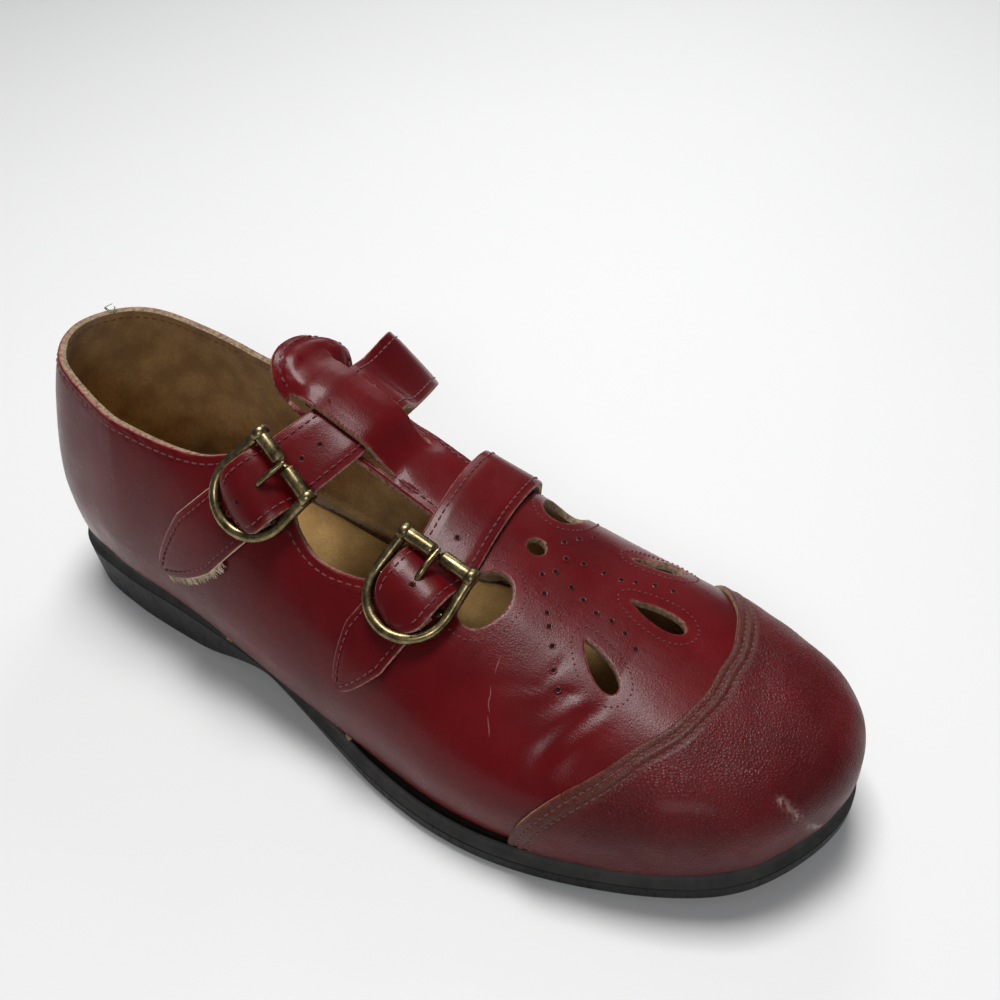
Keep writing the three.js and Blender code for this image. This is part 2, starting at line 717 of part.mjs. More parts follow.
// The T bar's middle strip lies over the rear strap, between two slits
const BRIDGE_LIFT = WALL + STRAP_THICKNESS + 4 * GAP;
function bridgeStrip() {
  const stops = [
    { at: SLITS.from - 0.02, lift: 0 },
    { at: SLITS.from, lift: 0.25 },
    { at: SLITS.from + 0.018, lift: 1 },
    { at: SLITS.to - 0.03, lift: 1 },
    { at: SLITS.to - 0.004, lift: 0.2 },
    { at: SLITS.to + 0.02, lift: 0 },
  ];
  const rest = -WALL + BRIDGE_SINK;
  return strip(
    stops.map((s) => ({ along: s.at * LAST_LENGTH, girth: 0, lift: rest + s.lift * (BRIDGE_LIFT - BRIDGE_SINK) })),
    WALL - 2 * BRIDGE_SINK,
    () => BRIDGE_WIDTH / 2,
    BRIDGE_STEPS,
  );
}

function bridgeWindow() {
  const half = BRIDGE_WIDTH / 2 + SLIT_WIDTH;
  const outline = [
    [SLITS.from, -half],
    [SLITS.from, half],
    [SLITS.to, half],
    [SLITS.to, -half],
  ].map(([at, across]) => ({ along: at * LAST_LENGTH, across: ridgeAcross(at) + across }));
  return uprightPrism(outline, 0, HIGH);
}

function upperPart() {
  let upper = lastForm(0, 0).subtract(lastForm(-WALL, HEEL_SEAT_HEIGHT));
  upper = upper.subtract(openingCutter());
  upper = upper.subtract(bridgeWindow());
  upper = upper.subtract(ovalCutter(PUNCHED_HOLE, PUNCHED_HOLE_WIDTH, PUNCHED_HOLE_WIDTH, 14));
  SIDE_HOLES.forEach((hole) => {
    upper = upper.subtract(ovalCutter(hole, SIDE_HOLE_LENGTH, SIDE_HOLE_WIDTH, 20));
  });
  TEARDROPS.forEach((drop) => {
    upper = upper.subtract(teardropCutter(drop));
  });
  return upper.add(bridgeStrip());
}

function toeCapPart() {
  const shell = lastForm(GAP + CAP_THICKNESS, 0).subtract(lastForm(GAP, HEEL_SEAT_HEIGHT));
  const outline = [];
  for (let i = 0; i <= PROFILE_STEPS; i += 1) {
    const across = CAP_EDGE.reach * ((2 * i) / PROFILE_STEPS - 1);
    outline.push({
      along: (CAP_EDGE.at - CAP_EDGE.bend * (across - CAP_EDGE.across) ** 2) * LAST_LENGTH,
      across: across * BALL_WIDTH,
    });
  }
  outline.push({ along: -LAST_LENGTH, across: BALL_WIDTH }, { along: -LAST_LENGTH, across: -BALL_WIDTH });
  const lean = new THREE.Matrix4().makeShear(0, 0, 0, 0, 0, -CAP_EDGE.lean);
  lean.setPosition(0, CAP_EDGE.lean * CAP_EDGE_HEIGHT, 0);
  return shell.subtract(uprightPrism(outline, -HIGH, HIGH, lean));
}

// Heights above the leather under a buckle
const centreBarHeight = GAP + LOOP_THICKNESS + GAP + CENTRE_BAR_WIDTH / 2;
const loopTop = 2 * centreBarHeight - GAP;
const straightBarHeight = centreBarHeight + STRAIGHT_BAR_RISE;
const curveHeight = centreBarHeight + GAP;

// A spot in the flat pattern, from the buckle's centre bar toward the sewn tab
function patternSpot(buckle, distance, turn = buckle.turn) {
  const heading = THREE.MathUtils.degToRad(turn);
  return {
    along: buckle.at * LAST_LENGTH - distance * Math.sin(heading),
    girth: buckle.girth * BALL_WIDTH - distance * Math.cos(heading),
  };
}

function buckleFrame(buckle) {
  const here = patternSpot(buckle, 0);
  const origin = spotAt(here.along, here.girth);
  const normal = normalAt(here.along, here.girth);
  const next = patternSpot(buckle, 3);
  const down = spotAt(next.along, next.girth).sub(origin);
  down.addScaledVector(normal, -down.dot(normal)).normalize();
  const across = new THREE.Vector3().crossVectors(normal, down);
  return { origin, normal, down, across };
}

const inFrame = (frame, across, down, height) =>
  frame.origin.clone()
    .addScaledVector(frame.across, across)
    .addScaledVector(frame.down, down)
    .addScaledVector(frame.normal, height);

function barMatrix(frame, down, height) {
  const matrix = new THREE.Matrix4().makeBasis(frame.down, frame.across, frame.normal.clone().negate());
  return matrix.setPosition(inFrame(frame, 0, down, height));
}

function bucklePart(buckle) {
  const frame = buckleFrame(buckle);
  const half = BUCKLE_WIDTH / 2;
  const barHalf = BAR_LENGTH / 2;
  const arm = barHalf - BUCKLE_WIRE / 2;
  const points = [
    inFrame(frame, -arm, -BAR_SPACING, straightBarHeight),
    inFrame(frame, -(arm + half) / 2, -BAR_SPACING * 0.5, (straightBarHeight + curveHeight) / 2),
  ];
  for (let i = 0; i <= RING_STEPS; i += 1) {
    const angle = (i / RING_STEPS) * Math.PI;
    points.push(inFrame(frame, -half * Math.cos(angle), half * Math.sin(angle), curveHeight));
  }
  points.push(inFrame(frame, (arm + half) / 2, -BAR_SPACING * 0.5, (straightBarHeight + curveHeight) / 2));
  points.push(inFrame(frame, arm, -BAR_SPACING, straightBarHeight));
  const groove = BAR_WIDTH / 2 - BAR_GROOVE;
  const grooveHalf = BAR_GROOVE_LENGTH / 2;
  const profile = [
    [0, -barHalf], [BAR_WIDTH / 2, -barHalf], [BAR_WIDTH / 2, -grooveHalf], [groove, -grooveHalf * 0.57],
    [groove, grooveHalf * 0.57], [BAR_WIDTH / 2, grooveHalf], [BAR_WIDTH / 2, barHalf], [0, barHalf],
  ].map(([x, y]) => new THREE.Vector2(x, y));
  const straightBar = new THREE.LatheGeometry(profile, 14);
  straightBar.applyMatrix4(barMatrix(frame, -BAR_SPACING, straightBarHeight));
  return tube(points, BUCKLE_WIRE, 8)
    .add(bar(CENTRE_BAR_WIDTH, BUCKLE_WIDTH, barMatrix(frame, 0, centreBarHeight)))
    .add(solidFrom(straightBar));
}

function prongPath(frame) {
  const rest = centreBarHeight + CENTRE_BAR_WIDTH / 2 + GAP + PRONG_WIDTH / 2;
  const tip = straightBarHeight + BAR_WIDTH / 2 - BAR_GROOVE + GAP + PRONG_WIDTH / 2;
  const crown = loopTop + GAP + STRAP_THICKNESS + PRONG_WIDTH / 2;
  return [
    inFrame(frame, 0, PRONG_WIDTH / 3, rest),
    inFrame(frame, 0, -BAR_SPACING * 0.2, rest + PRONG_WIDTH / 9),
    inFrame(frame, 0, -BAR_SPACING * 0.4, crown - PRONG_WIDTH * 0.67),
    inFrame(frame, 0, -BAR_SPACING * 0.65, (crown + tip) / 2),
    inFrame(frame, 0, -BAR_SPACING, tip),
    inFrame(frame, 0, -BAR_SPACING - PRONG_OVERHANG, tip - PRONG_WIDTH / 18),
  ];
}

const prongPart = (buckle) => tube(prongPath(buckleFrame(buckle)), PRONG_WIDTH, 6);

function tabPart(buckle, tab) {
  const frame = buckleFrame(buckle);
  const radius = centreBarHeight - GAP;
  const plate = strip(
    [-0.07 * TAB_WIDTH, 0.4 * TAB_WIDTH, 0.93 * TAB_WIDTH, 0.7 * tab.length, tab.length].map((distance) => ({
      ...patternSpot(buckle, distance, tab.turn),
      lift: GAP,
    })),
    TAB_THICKNESS,
    (share) => (TAB_WIDTH / 2) * Math.min(1, 0.06 + Math.max(0, (1 - share) * 2) ** 0.62),
    TAB_STEPS,
  );
  const loop = bar(2 * radius, TAB_WIDTH, barMatrix(frame, 0, centreBarHeight));
  const bore = bar(CENTRE_BAR_WIDTH + 2 * GAP, TAB_WIDTH * 2, barMatrix(frame, 0, centreBarHeight));
  const notch = new THREE.BoxGeometry(PRONG_WIDTH + 2, 3 * radius, 2 * radius);
  const turn = new THREE.Matrix4().makeBasis(frame.across, frame.down, frame.normal);
  notch.applyMatrix4(turn.setPosition(inFrame(frame, 0, 0, centreBarHeight + radius)));
  return plate.add(loop).subtract(bore).subtract(solidFrom(notch));
}

function strapPart(rows, buckle, endShape) {
  const over = loopTop + GAP;
  const stops = rows.map((row) => ({
    along: row.at * LAST_LENGTH,
    girth: row.girth * BALL_WIDTH,
    lift: GAP + row.lift * STRAP_THICKNESS,
  }));
  const reach = BUCKLE_WIDTH / 2 - BUCKLE_WIRE / 2 - 3 * GAP;
  [
    [-BAR_SPACING * 1.15, GAP],
    [-BAR_SPACING * 0.85, 2 * GAP],
    [-BAR_SPACING * 0.5, over * 0.7],
    [0, over],
    [reach * 0.5, over * 0.85],
    [reach, over * 0.5],
  ].forEach(([distance, lift]) => stops.push({ ...patternSpot(buckle, distance), lift }));
  const solid = strip(stops, STRAP_THICKNESS, endShape, STRAP_STEPS);
  return solid.subtract(tube(prongPath(buckleFrame(buckle)), PRONG_WIDTH + 1.2, 6));
}

// Half width of a strap: round at the free end, pointed or square at the sewn end
const strapHalf = (pointed) => (share, length) => {
  const left = (1 - share) * length;
  const radius = STRAP_WIDTH / 2;
  const round = left < radius ? Math.sqrt(Math.max(radius ** 2 - (radius - left) ** 2, 0.8)) : radius;
  const point = pointed ? Math.max(0.6, Math.min(radius, share * length * 1.1)) : radius;
  return Math.min(round, point);
};

const LEATHER = { color: 0x5c1218, roughness: 0.34, metalness: 0 };
const RUBBER = { color: 0x17171a, roughness: 0.7, metalness: 0 };
const LINING = { color: 0xa87c45, roughness: 0.9, metalness: 0 };
const BRASS = { color: 0x8a7a4c, roughness: 0.35, metalness: 1 };

const shoe = new THREE.Group();
function addPart(name, solid, finish) {
  const mesh = new THREE.Mesh(geometryFrom(solid), new THREE.MeshStandardMaterial(finish));
  mesh.name = name;
  shoe.add(mesh);
}

addPart('sole', solePart(), RUBBER);
addPart('insole', insolePart(), LINING);
addPart('upper', upperPart(), LEATHER);
addPart('toe_cap', toeCapPart(), LEATHER);
addPart('strap_rear', strapPart(REAR_STRAP, BUCKLES.rear, strapHalf(false)), LEATHER);
addPart('strap_front', strapPart(FRONT_STRAP, BUCKLES.front, strapHalf(true)), LEATHER);
Object.entries(BUCKLES).forEach(([which, buckle]) => {
  addPart(`buckle_tab_${which}`, tabPart(buckle, TABS[which]), LEATHER);
  addPart(`buckle_${which}`, bucklePart(buckle), BRASS);
  addPart(`prong_${which}`, prongPart(buckle), BRASS);
});

export default shoe;
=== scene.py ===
"""Looks of a right mary jane shoe with a T bar, two buckled straps and a moulded rubber sole.

Lengths are in millimetres in the shoe's own places (along from the heel, across to the inner side, height)
and turn into metres in the row frame: toe toward -Y, outer side toward -X, +Z up.
"""

import math
import random

import bpy
import numpy as np
from mathutils import Matrix, Vector, noise
from mathutils.kdtree import KDTree


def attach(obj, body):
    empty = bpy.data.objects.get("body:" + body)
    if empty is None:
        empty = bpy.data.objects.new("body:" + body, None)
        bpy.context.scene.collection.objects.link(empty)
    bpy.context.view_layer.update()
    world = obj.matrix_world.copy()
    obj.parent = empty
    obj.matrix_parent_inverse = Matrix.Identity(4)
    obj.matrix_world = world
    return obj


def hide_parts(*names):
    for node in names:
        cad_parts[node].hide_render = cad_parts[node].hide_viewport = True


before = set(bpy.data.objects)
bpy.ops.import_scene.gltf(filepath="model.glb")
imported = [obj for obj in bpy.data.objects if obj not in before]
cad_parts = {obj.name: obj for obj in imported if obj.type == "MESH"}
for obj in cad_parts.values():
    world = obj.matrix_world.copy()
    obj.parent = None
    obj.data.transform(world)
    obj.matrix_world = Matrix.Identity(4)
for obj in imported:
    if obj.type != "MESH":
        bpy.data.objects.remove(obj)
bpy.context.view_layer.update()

MM = 0.001

# Driving sizes of the last
LAST_LENGTH = 250
BALL_WIDTH = 88
CONE_HEIGHT = 124
HEEL_SEAT_HEIGHT = 20
BULGE_HEIGHT = 12.6
BULGE_DEPTH = 3
SHOULDER = 12

# Driving sizes of the leather and its fit
WALL = 2
CAP_THICKNESS = 1.2
STRAP_THICKNESS = 1.8
TAB_THICKNESS = 1.4
INSOLE_THICKNESS = 2.5
GAP = 0.3
EDGE_ROUND = 0.7
COLLAR_BLEND = 30

# Rows of stitches, in from an edge, and the leather drawn in just above the sole
STITCH_IN, DOTS_IN = 2.5, 3.4
CAP_STITCH_ROWS = (2.2, 4.6)
STRAP_STITCH_IN = 1.9
PULL_IN, PULL_IN_HEIGHT = 1.1, 2.6

# Driving sizes of the sole
SOLE_THICKNESS = 8.5
SOLE_PROJECTION = 3
TOE_SPRING = 7.9
SHANK_HEIGHT = 9.3
BEVEL_WIDTH = 2.4
BEVEL_HEIGHT = 3
WELT_GROOVE = 0.75
SOLE_EDGE_RADIUS = 1.2
HEEL_TAPER = 1.9

# Driving sizes of the opening, T bar, cut-outs, straps and buckles
COLLAR_HEIGHT = 88
T_BAR_WIDTH = 24
BRIDGE_WIDTH = 16.5
PUNCHED_HOLE_WIDTH = 5.4
TEARDROP_LENGTH = 16
TEARDROP_WIDTH = 6
SIDE_HOLE_LENGTH = 11.5
SIDE_HOLE_WIDTH = 17
STRAP_WIDTH = 16.6
TAB_WIDTH = 15
BUCKLE_WIDTH = 22.4
BAR_LENGTH = 24
BUCKLE_WIRE = 2.6
BAR_WIDTH = 4.2
BAR_SPACING = 12
CENTRE_BAR_WIDTH = 2
LOOP_THICKNESS = 1
PRONG_WIDTH = 1.8

# The last's lower edge from above: share of LAST_LENGTH from the heel, share of BALL_WIDTH across
OUTLINE = [
    (0, -0.02), (0.035, -0.23), (0.12, -0.31), (0.24, -0.35), (0.4, -0.405), (0.52, -0.455), (0.64, -0.505),
    (0.75, -0.49), (0.87, -0.395), (0.95, -0.24), (0.992, 0.045), (0.958, 0.28), (0.865, 0.405),
    (0.75, 0.475), (0.66, 0.47), (0.52, 0.38), (0.4, 0.31), (0.24, 0.325), (0.12, 0.33), (0.035, 0.23),
]
# The last's top line: at, height as a share of CONE_HEIGHT, across as a share of BALL_WIDTH
RIDGE = [
    (0.17, 1, 0.02), (0.28, 0.8, 0.085), (0.38, 0.675, 0.112), (0.46, 0.6, 0.114), (0.54, 0.535, 0.112),
    (0.62, 0.478, 0.104), (0.7, 0.428, 0.1), (0.78, 0.39, 0.11),
]
# Side walls: at, rise, bulge outer and inner, arc outer and inner, shoulder
SECTION = [
    (0, 1.9, 0.9, 0.9, 1.5, 1.5, 0),
    (0.2, 1.05, 1, 0.7, 1.42, 1, 0),
    (0.3, 1, 1.1, 0.7, 1.31, 0.75, 0.8),
    (0.4, 1, 1.2, 0.7, 1.2, 0.62, 1),
    (0.55, 0.98, 0.7, 0.7, 1, 0.75, 0.3),
    (0.7, 0.9, 0.8, 0.7, 0.9, 0.9, 0),
    (0.85, 0.83, 0.75, 0.75, 0.83, 0.83, 0),
    (1, 0.75, 0.9, 0.9, 0.78, 0.78, 0),
]
# How far the sole's edge stands out from the last, outer and inner side, as shares of SOLE_PROJECTION
SOLE_EDGE = [
    (0, 0.9, 0.9), (0.12, 0.6, 0.6), (0.24, 0.35, 0.35), (0.36, -0.1, -0.05), (0.4, 0.1, -0.1),
    (0.45, 0.52, 0.05), (0.5, 0.98, 0.25), (0.55, 1.4, 0.45), (0.66, 1.55, 1), (0.75, 1.3, 1.05),
    (0.85, 1.08, 1.05), (1, 1.4, 1.4),
]
# The sole's underside between heel and ball, as a share of SHANK_HEIGHT
SOLE_ARCH = [
    (0, 0), (0.2, 0), (0.225, 0.02), (0.25, 0.1), (0.275, 0.28), (0.305, 0.58), (0.335, 0.84), (0.36, 0.98),
    (0.38, 0.96), (0.4, 0.82), (0.432, 0.59), (0.464, 0.4), (0.5, 0.21), (0.53, 0.08), (0.56, 0.01), (0.6, 0),
    (1, 0),
]
# The top line and the bottom of the side openings: at, height as a share of COLLAR_HEIGHT
OUTER_TOP_LINE = [
    (-0.03, 1), (0.02, 0.995), (0.06, 0.975), (0.12, 0.925), (0.18, 0.885), (0.24, 0.858), (0.29, 0.852),
    (0.33, 0.872), (0.365, 0.88), (0.385, 0.85), (0.402, 0.79), (0.42, 0.725), (0.452, 0.672),
    (0.49, 0.655), (0.525, 0.66), (0.545, 0.7), (0.555, 0.8),
]
INNER_TOP_LINE = [
    (-0.03, 1), (0.02, 0.99), (0.06, 0.935), (0.12, 0.855), (0.18, 0.81), (0.24, 0.793), (0.29, 0.795),
    (0.33, 0.805), (0.36, 0.79), (0.385, 0.73), (0.42, 0.67), (0.46, 0.64), (0.5, 0.635),
    (0.53, 0.65), (0.547, 0.7), (0.555, 0.8),
]
OPENING_FRONT = 0.552
# The T bar's outline: at, outer side and inner side as shares of half of T_BAR_WIDTH
T_BAR = [
    (0.6, 1, 1), (0.5, 1, 1), (0.4, 1, 1), (0.375, 0.98, 1.12), (0.358, 0.94, 1.42), (0.34, 0.85, 1.55),
    (0.324, 0.58, 1.35), (0.314, 0.15, 0.85),
]
SLITS = (0.354, 0.482)
SLIT_RADIUS = 0.45
SLIT_AT = BRIDGE_WIDTH / 2 + SLIT_RADIUS
SLIT_SHIFT, SLIT_SHIFT_OUT = 1.9, -0.9
# The bridge between the slits: its lift, and at, share of that lift
BRIDGE_LIFT = STRAP_THICKNESS + WALL + 4 * GAP - 0.4
BRIDGE_RISE = [
    (0.3, 0), (0.345, 0), (0.356, 0.25), (0.366, 0.72), (0.376, 0.96), (0.388, 1), (0.437, 1), (0.45, 0.8),
    (0.462, 0.4), (0.474, 0.12), (0.486, 0), (0.6, 0),
]
PAD_PUFF, PAD_INNER_LIFT = 2.6, 2.4

# Cut-outs in the vamp: at, across as a share of BALL_WIDTH, turn in degrees
PUNCHED_HOLE = (0.639, 0.09, 0)
SIDE_HOLES = [(0.628, -0.148, 12), (0.625, 0.33, -12)]
TEARDROPS = [(0.757, -0.135, 33), (0.778, 0.105, 0), (0.742, 0.32, -33)]
CAP_EDGE_AT, CAP_EDGE_ACROSS, CAP_EDGE_BEND, CAP_EDGE_LEAN = 0.853, 0.02, 0.283, 0.38
CAP_EDGE_HEIGHT = 40

# Straps from the sewn end: at, girth from the ridge as a share of BALL_WIDTH, lift in strap thicknesses
REAR_STRAP = [
    (0.302, 0.57, 0), (0.318, 0.515, 0.3), (0.335, 0.46, 1.6), (0.35, 0.405, 5), (0.366, 0.34, 9),
    (0.381, 0.275, 7.6), (0.394, 0.2, 1.8), (0.403, 0.12, 0.3), (0.41, 0, 0), (0.412, -0.11, 0),
]
FRONT_STRAP = [
    (0.527, 0.5, 0), (0.535, 0.42, 0), (0.545, 0.32, 0.3), (0.555, 0.21, 0.8), (0.563, 0.08, 0),
    (0.57, -0.09, 0),
]
# Buckles and the tabs that hold them: at, girth and turn of the buckle, length and turn of the tab
BUCKLES = {"rear": (0.367, -0.412, 28), "front": (0.5645, -0.376, 10)}
TABS = {"rear": (59, 33), "front": (36, 21)}
STRAP_ROUND = STRAP_WIDTH / 2
# The rear strap's loop: how much higher its crest stands, then the turn there: place, length and slope
REAR_CREST_RISE = 1.22
REAR_TWIST = (27, 12, 0.42)

HEEL_POLE = RIDGE[0][0]
TOE_POLE = RIDGE[-1][0]


def read(table, at, column):
    ats = np.array([row[0] for row in table], float)
    values = np.array([row[column] for row in table], float)
    x = np.clip(at, ats[0], ats[-1])
    before = np.maximum(np.arange(len(ats)) - 1, 0)
    after = np.minimum(np.arange(len(ats)) + 1, len(ats) - 1)
    slopes = (values[after] - values[before]) / (ats[after] - ats[before])
    i = np.clip(np.searchsorted(ats, x, side="right") - 1, 0, len(ats) - 2)
    step = ats[i + 1] - ats[i]
    t = (x - ats[i]) / step
    level = values[i] * (2 * t**3 - 3 * t**2 + 1) + values[i + 1] * (3 * t**2 - 2 * t**3)
    return level + slopes[i] * step * (t**3 - 2 * t**2 + t) + slopes[i + 1] * step * (t**3 - t**2)


def ease(t):
    c = np.clip(t, 0, 1)
    return c * c * (3 - 2 * c)


def closed_spline(steps):
    points = np.array(OUTLINE, float) * (LAST_LENGTH, BALL_WIDTH)
    t = np.arange(steps)[:, None] / steps
    pieces = []
    for i in range(len(points)):
        a, b, c, d = (points[(i + k) % len(points)] for k in (-1, 0, 1, 2))
        curve = 2 * b + (c - a) * t + (2 * a - 5 * b + 4 * c - d) * t**2 + (3 * b - a - 3 * c + d) * t**3
        pieces.append(0.5 * curve)
    return np.concatenate(pieces)


def offset_loop(loop, out):
    ahead, behind = np.roll(loop, -1, 0), np.roll(loop, 1, 0)
    way = ahead - behind
    way /= np.linalg.norm(way, axis=1)[:, None]
    outer = np.arange(len(loop)) < len(loop) / 2
    at = loop[:, 0] / LAST_LENGTH
    reach = np.where(outer, out(at, 1), out(at, 2))[:, None]
    return loop + reach * np.stack([way[:, 1], -way[:, 0]], 1)


def sole_edge(at, side):
    return read(SOLE_EDGE, at, side) * SOLE_PROJECTION


COARSE_STEPS, FINE_STEPS = 4, 20
LOOP = closed_spline(FINE_STEPS)
coarse_sole = offset_loop(closed_spline(COARSE_STEPS), sole_edge)
MIDDLE = (coarse_sole.min(0) + coarse_sole.max(0)) / 2


def place(along, across, height):
    """Row frame coordinates, still in millimetres."""
    return np.stack(np.broadcast_arrays(across - MIDDLE[1], MIDDLE[0] - along, height), -1)


def spring_at(at):
    return TOE_SPRING * np.maximum(0, (at - 0.68) / 0.32) ** 2


def edge_height(along):
    at = along / LAST_LENGTH
    return HEEL_SEAT_HEIGHT + (SOLE_THICKNESS - HEEL_SEAT_HEIGHT) * ease((at - 0.2) / 0.4) + spring_at(at)


def reach_of(pole, way):
    edge = np.roll(LOOP, -1, 0) - LOOP
    start = LOOP[None] - pole[:, None]
    with np.errstate(all="ignore"):
        turn = way[:, None, 0] * edge[None, :, 1] - way[:, None, 1] * edge[None, :, 0]
        distance = (start[..., 0] * edge[None, :, 1] - start[..., 1] * edge[None, :, 0]) / turn
        share = (start[..., 0] * way[:, None, 1] - start[..., 1] * way[:, None, 0]) / turn
    ok = (distance > 0) & (share > -1e-9) & (share < 1 + 1e-9)
    return np.where(ok, distance, np.inf).min(1)


class Lines:
    """Generators of the last's side wall, from the ridge out and down to the lower edge."""

    def __init__(self, at, way, side):
        at, side = np.asarray(at, float), np.broadcast_to(side, np.shape(at))
        self.way = np.asarray(way, float)
        self.pole = np.stack([at * LAST_LENGTH, read(RIDGE, at, 2) * BALL_WIDTH], 1)
        self.reach = reach_of(self.pole, self.way)
        foot = (self.pole[:, 0] + self.way[:, 0] * self.reach) / LAST_LENGTH
        step = 0.01
        fall = read(RIDGE, TOE_POLE, 1) - read(RIDGE, TOE_POLE - step, 1)
        outer = side < 0
        self.top = read(RIDGE, at, 1) * CONE_HEIGHT
        self.edge = edge_height(foot * LAST_LENGTH)
        self.bulge = np.where(outer, read(SECTION, foot, 2), read(SECTION, foot, 3)) * BULGE_DEPTH
        self.arc = np.where(outer, read(SECTION, foot, 4), read(SECTION, foot, 5))
        self.shoulder = np.where(outer, 0, read(SECTION, foot, 6)) * SHOULDER
        self.lift = read(SECTION, foot, 1) * BULGE_HEIGHT
        self.slope = np.maximum(self.way[:, 0], 0) * fall * CONE_HEIGHT / (step * LAST_LENGTH)

    def wall(self, arc, tuck):
        """Rows of points: arc runs from 1 at the ridge to 0 at the widest, tuck on to 1 at the edge."""
        arc, tuck = arc[:, None], tuck[:, None]
        half = self.reach + self.bulge
        waist = self.edge + self.lift
        out = half * np.cos(arc * np.pi / 2)
        share = out / half
        height = waist + (self.top - waist) * np.sin(arc * np.pi / 2) ** self.arc
        height += self.slope * out * (1 - share) + self.shoulder * share**2 * (1 - share**4)
        tucked = tuck > 0
        out = np.where(tucked, self.reach + self.bulge * np.cos(tuck * np.pi / 2), out)
        height = np.where(tucked, waist - self.lift * np.sin(tuck * np.pi / 2), height)
        return place(self.pole[:, 0] + self.way[:, 0] * out, self.pole[:, 1] + self.way[:, 1] * out, height)


# The sections as a lookup grid: along by girth, the outer side with negative girth
ALONG_STEP, GIRTH_STEP, GIRTH_MOST = 1.0, 0.5, 110.0
section_along = np.arange(2, 196, ALONG_STEP)


def section_rows(side):
    at = section_along / LAST_LENGTH
    lines = Lines(np.maximum(at, 0.02), np.tile((0.0, float(side)), (len(at), 1)), side)
    steps = 160
    arc = np.concatenate([1 - np.arange(steps + 1) / steps, np.zeros(20)])
    tuck = np.concatenate([np.zeros(steps + 1), (np.arange(20) + 1) / 20])
    points = lines.wall(arc, tuck)
    pieces = np.linalg.norm(np.diff(points, axis=0), axis=2)
    girth = np.concatenate([np.zeros((1, len(at))), pieces.cumsum(0)])
    wanted = np.arange(0, GIRTH_MOST + GIRTH_STEP / 2, GIRTH_STEP)
    rows = np.empty((len(at), len(wanted), 3))
    for i in range(len(at)):
        for axis in range(3):
            rows[i, :, axis] = np.interp(wanted, girth[:, i], points[:, i, axis])
    return rows


SECTIONS = np.concatenate([section_rows(-1)[:, :0:-1], section_rows(1)], axis=1)


def spot(along, girth):
    along, girth = np.broadcast_arrays(np.asarray(along, float), np.asarray(girth, float))
    a = np.clip((along - section_along[0]) / ALONG_STEP, 0, len(section_along) - 1.001)
    g = np.clip((girth + GIRTH_MOST) / GIRTH_STEP, 0, SECTIONS.shape[1] - 1.001)
    i, j = a.astype(int), g.astype(int)
    s, t = (a - i)[..., None], (g - j)[..., None]
    near = SECTIONS[i, j] * (1 - t) + SECTIONS[i, j + 1] * t
    far = SECTIONS[i + 1, j] * (1 - t) + SECTIONS[i + 1, j + 1] * t
    return near * (1 - s) + far * s


def unit(v):
    return v / np.maximum(np.linalg.norm(v, axis=-1, keepdims=True), 1e-12)


def normal(along, girth):
    step = 1.5
    lengthwise = spot(np.asarray(along) + step, girth) - spot(np.asarray(along) - step, girth)
    crosswise = spot(along, np.asarray(girth) + step) - spot(along, np.asarray(girth) - step)
    return -unit(np.cross(crosswise, lengthwise))


def raised(along, girth, lift):
    return spot(along, girth) + normal(along, girth) * np.asarray(lift, float)[..., None]


def ridge_across(at):
    return read(RIDGE, at, 2) * BALL_WIDTH


def catmull(points, count):
    """Centripetal spline through the points, sampled at equal steps of its length."""
    p = np.asarray(points, float)
    p = np.concatenate([[2 * p[0] - p[1]], p, [2 * p[-1] - p[-2]]])
    dense = []
    for i in range(1, len(p) - 2):
        a, b, c, d = p[i - 1 : i + 3]
        t0 = 0.0
        t1 = t0 + max(np.linalg.norm(b - a), 1e-6) ** 0.5
        t2 = t1 + max(np.linalg.norm(c - b), 1e-6) ** 0.5
        t3 = t2 + max(np.linalg.norm(d - c), 1e-6) ** 0.5
        t = np.linspace(t1, t2, 40, endpoint=i == len(p) - 3)[:, None]
        ab = (t1 - t) / (t1 - t0) * a + (t - t0) / (t1 - t0) * b
        bc = (t2 - t) / (t2 - t1) * b + (t - t1) / (t2 - t1) * c
        cd = (t3 - t) / (t3 - t2) * c + (t - t2) / (t3 - t2) * d
        abc = (t2 - t) / (t2 - t0) * ab + (t - t0) / (t2 - t0) * bc
        bcd = (t3 - t) / (t3 - t1) * bc + (t - t1) / (t3 - t1) * cd
        dense.append((t2 - t) / (t2 - t1) * abc + (t - t1) / (t2 - t1) * bcd)
    return resample(np.concatenate(dense), count)


def length_along(points):
    return np.concatenate([[0], np.linalg.norm(np.diff(points, axis=0), axis=1).cumsum()])


def resample(points, count):
    run = length_along(points)
    wanted = np.linspace(0, run[-1], count)
    return np.stack([np.interp(wanted, run, points[:, k]) for k in range(points.shape[1])], 1)


# Meshes as arrays: points with columns, triangles, and cuts along the level lines of a column


def weld(points, faces, size=1e-3):
    keys = np.round(points[:, :3] / size).astype(np.int64)
    _, first, back = np.unique(keys, axis=0, return_index=True, return_inverse=True)
    back = back.reshape(-1)
    faces = back[faces]
    good = (faces[:, 0] != faces[:, 1]) & (faces[:, 1] != faces[:, 2]) & (faces[:, 2] != faces[:, 0])
    return points[first], faces[good]


def used(points, faces):
    kept, back = np.unique(faces, return_inverse=True)
    return points[kept], back.reshape(faces.shape)


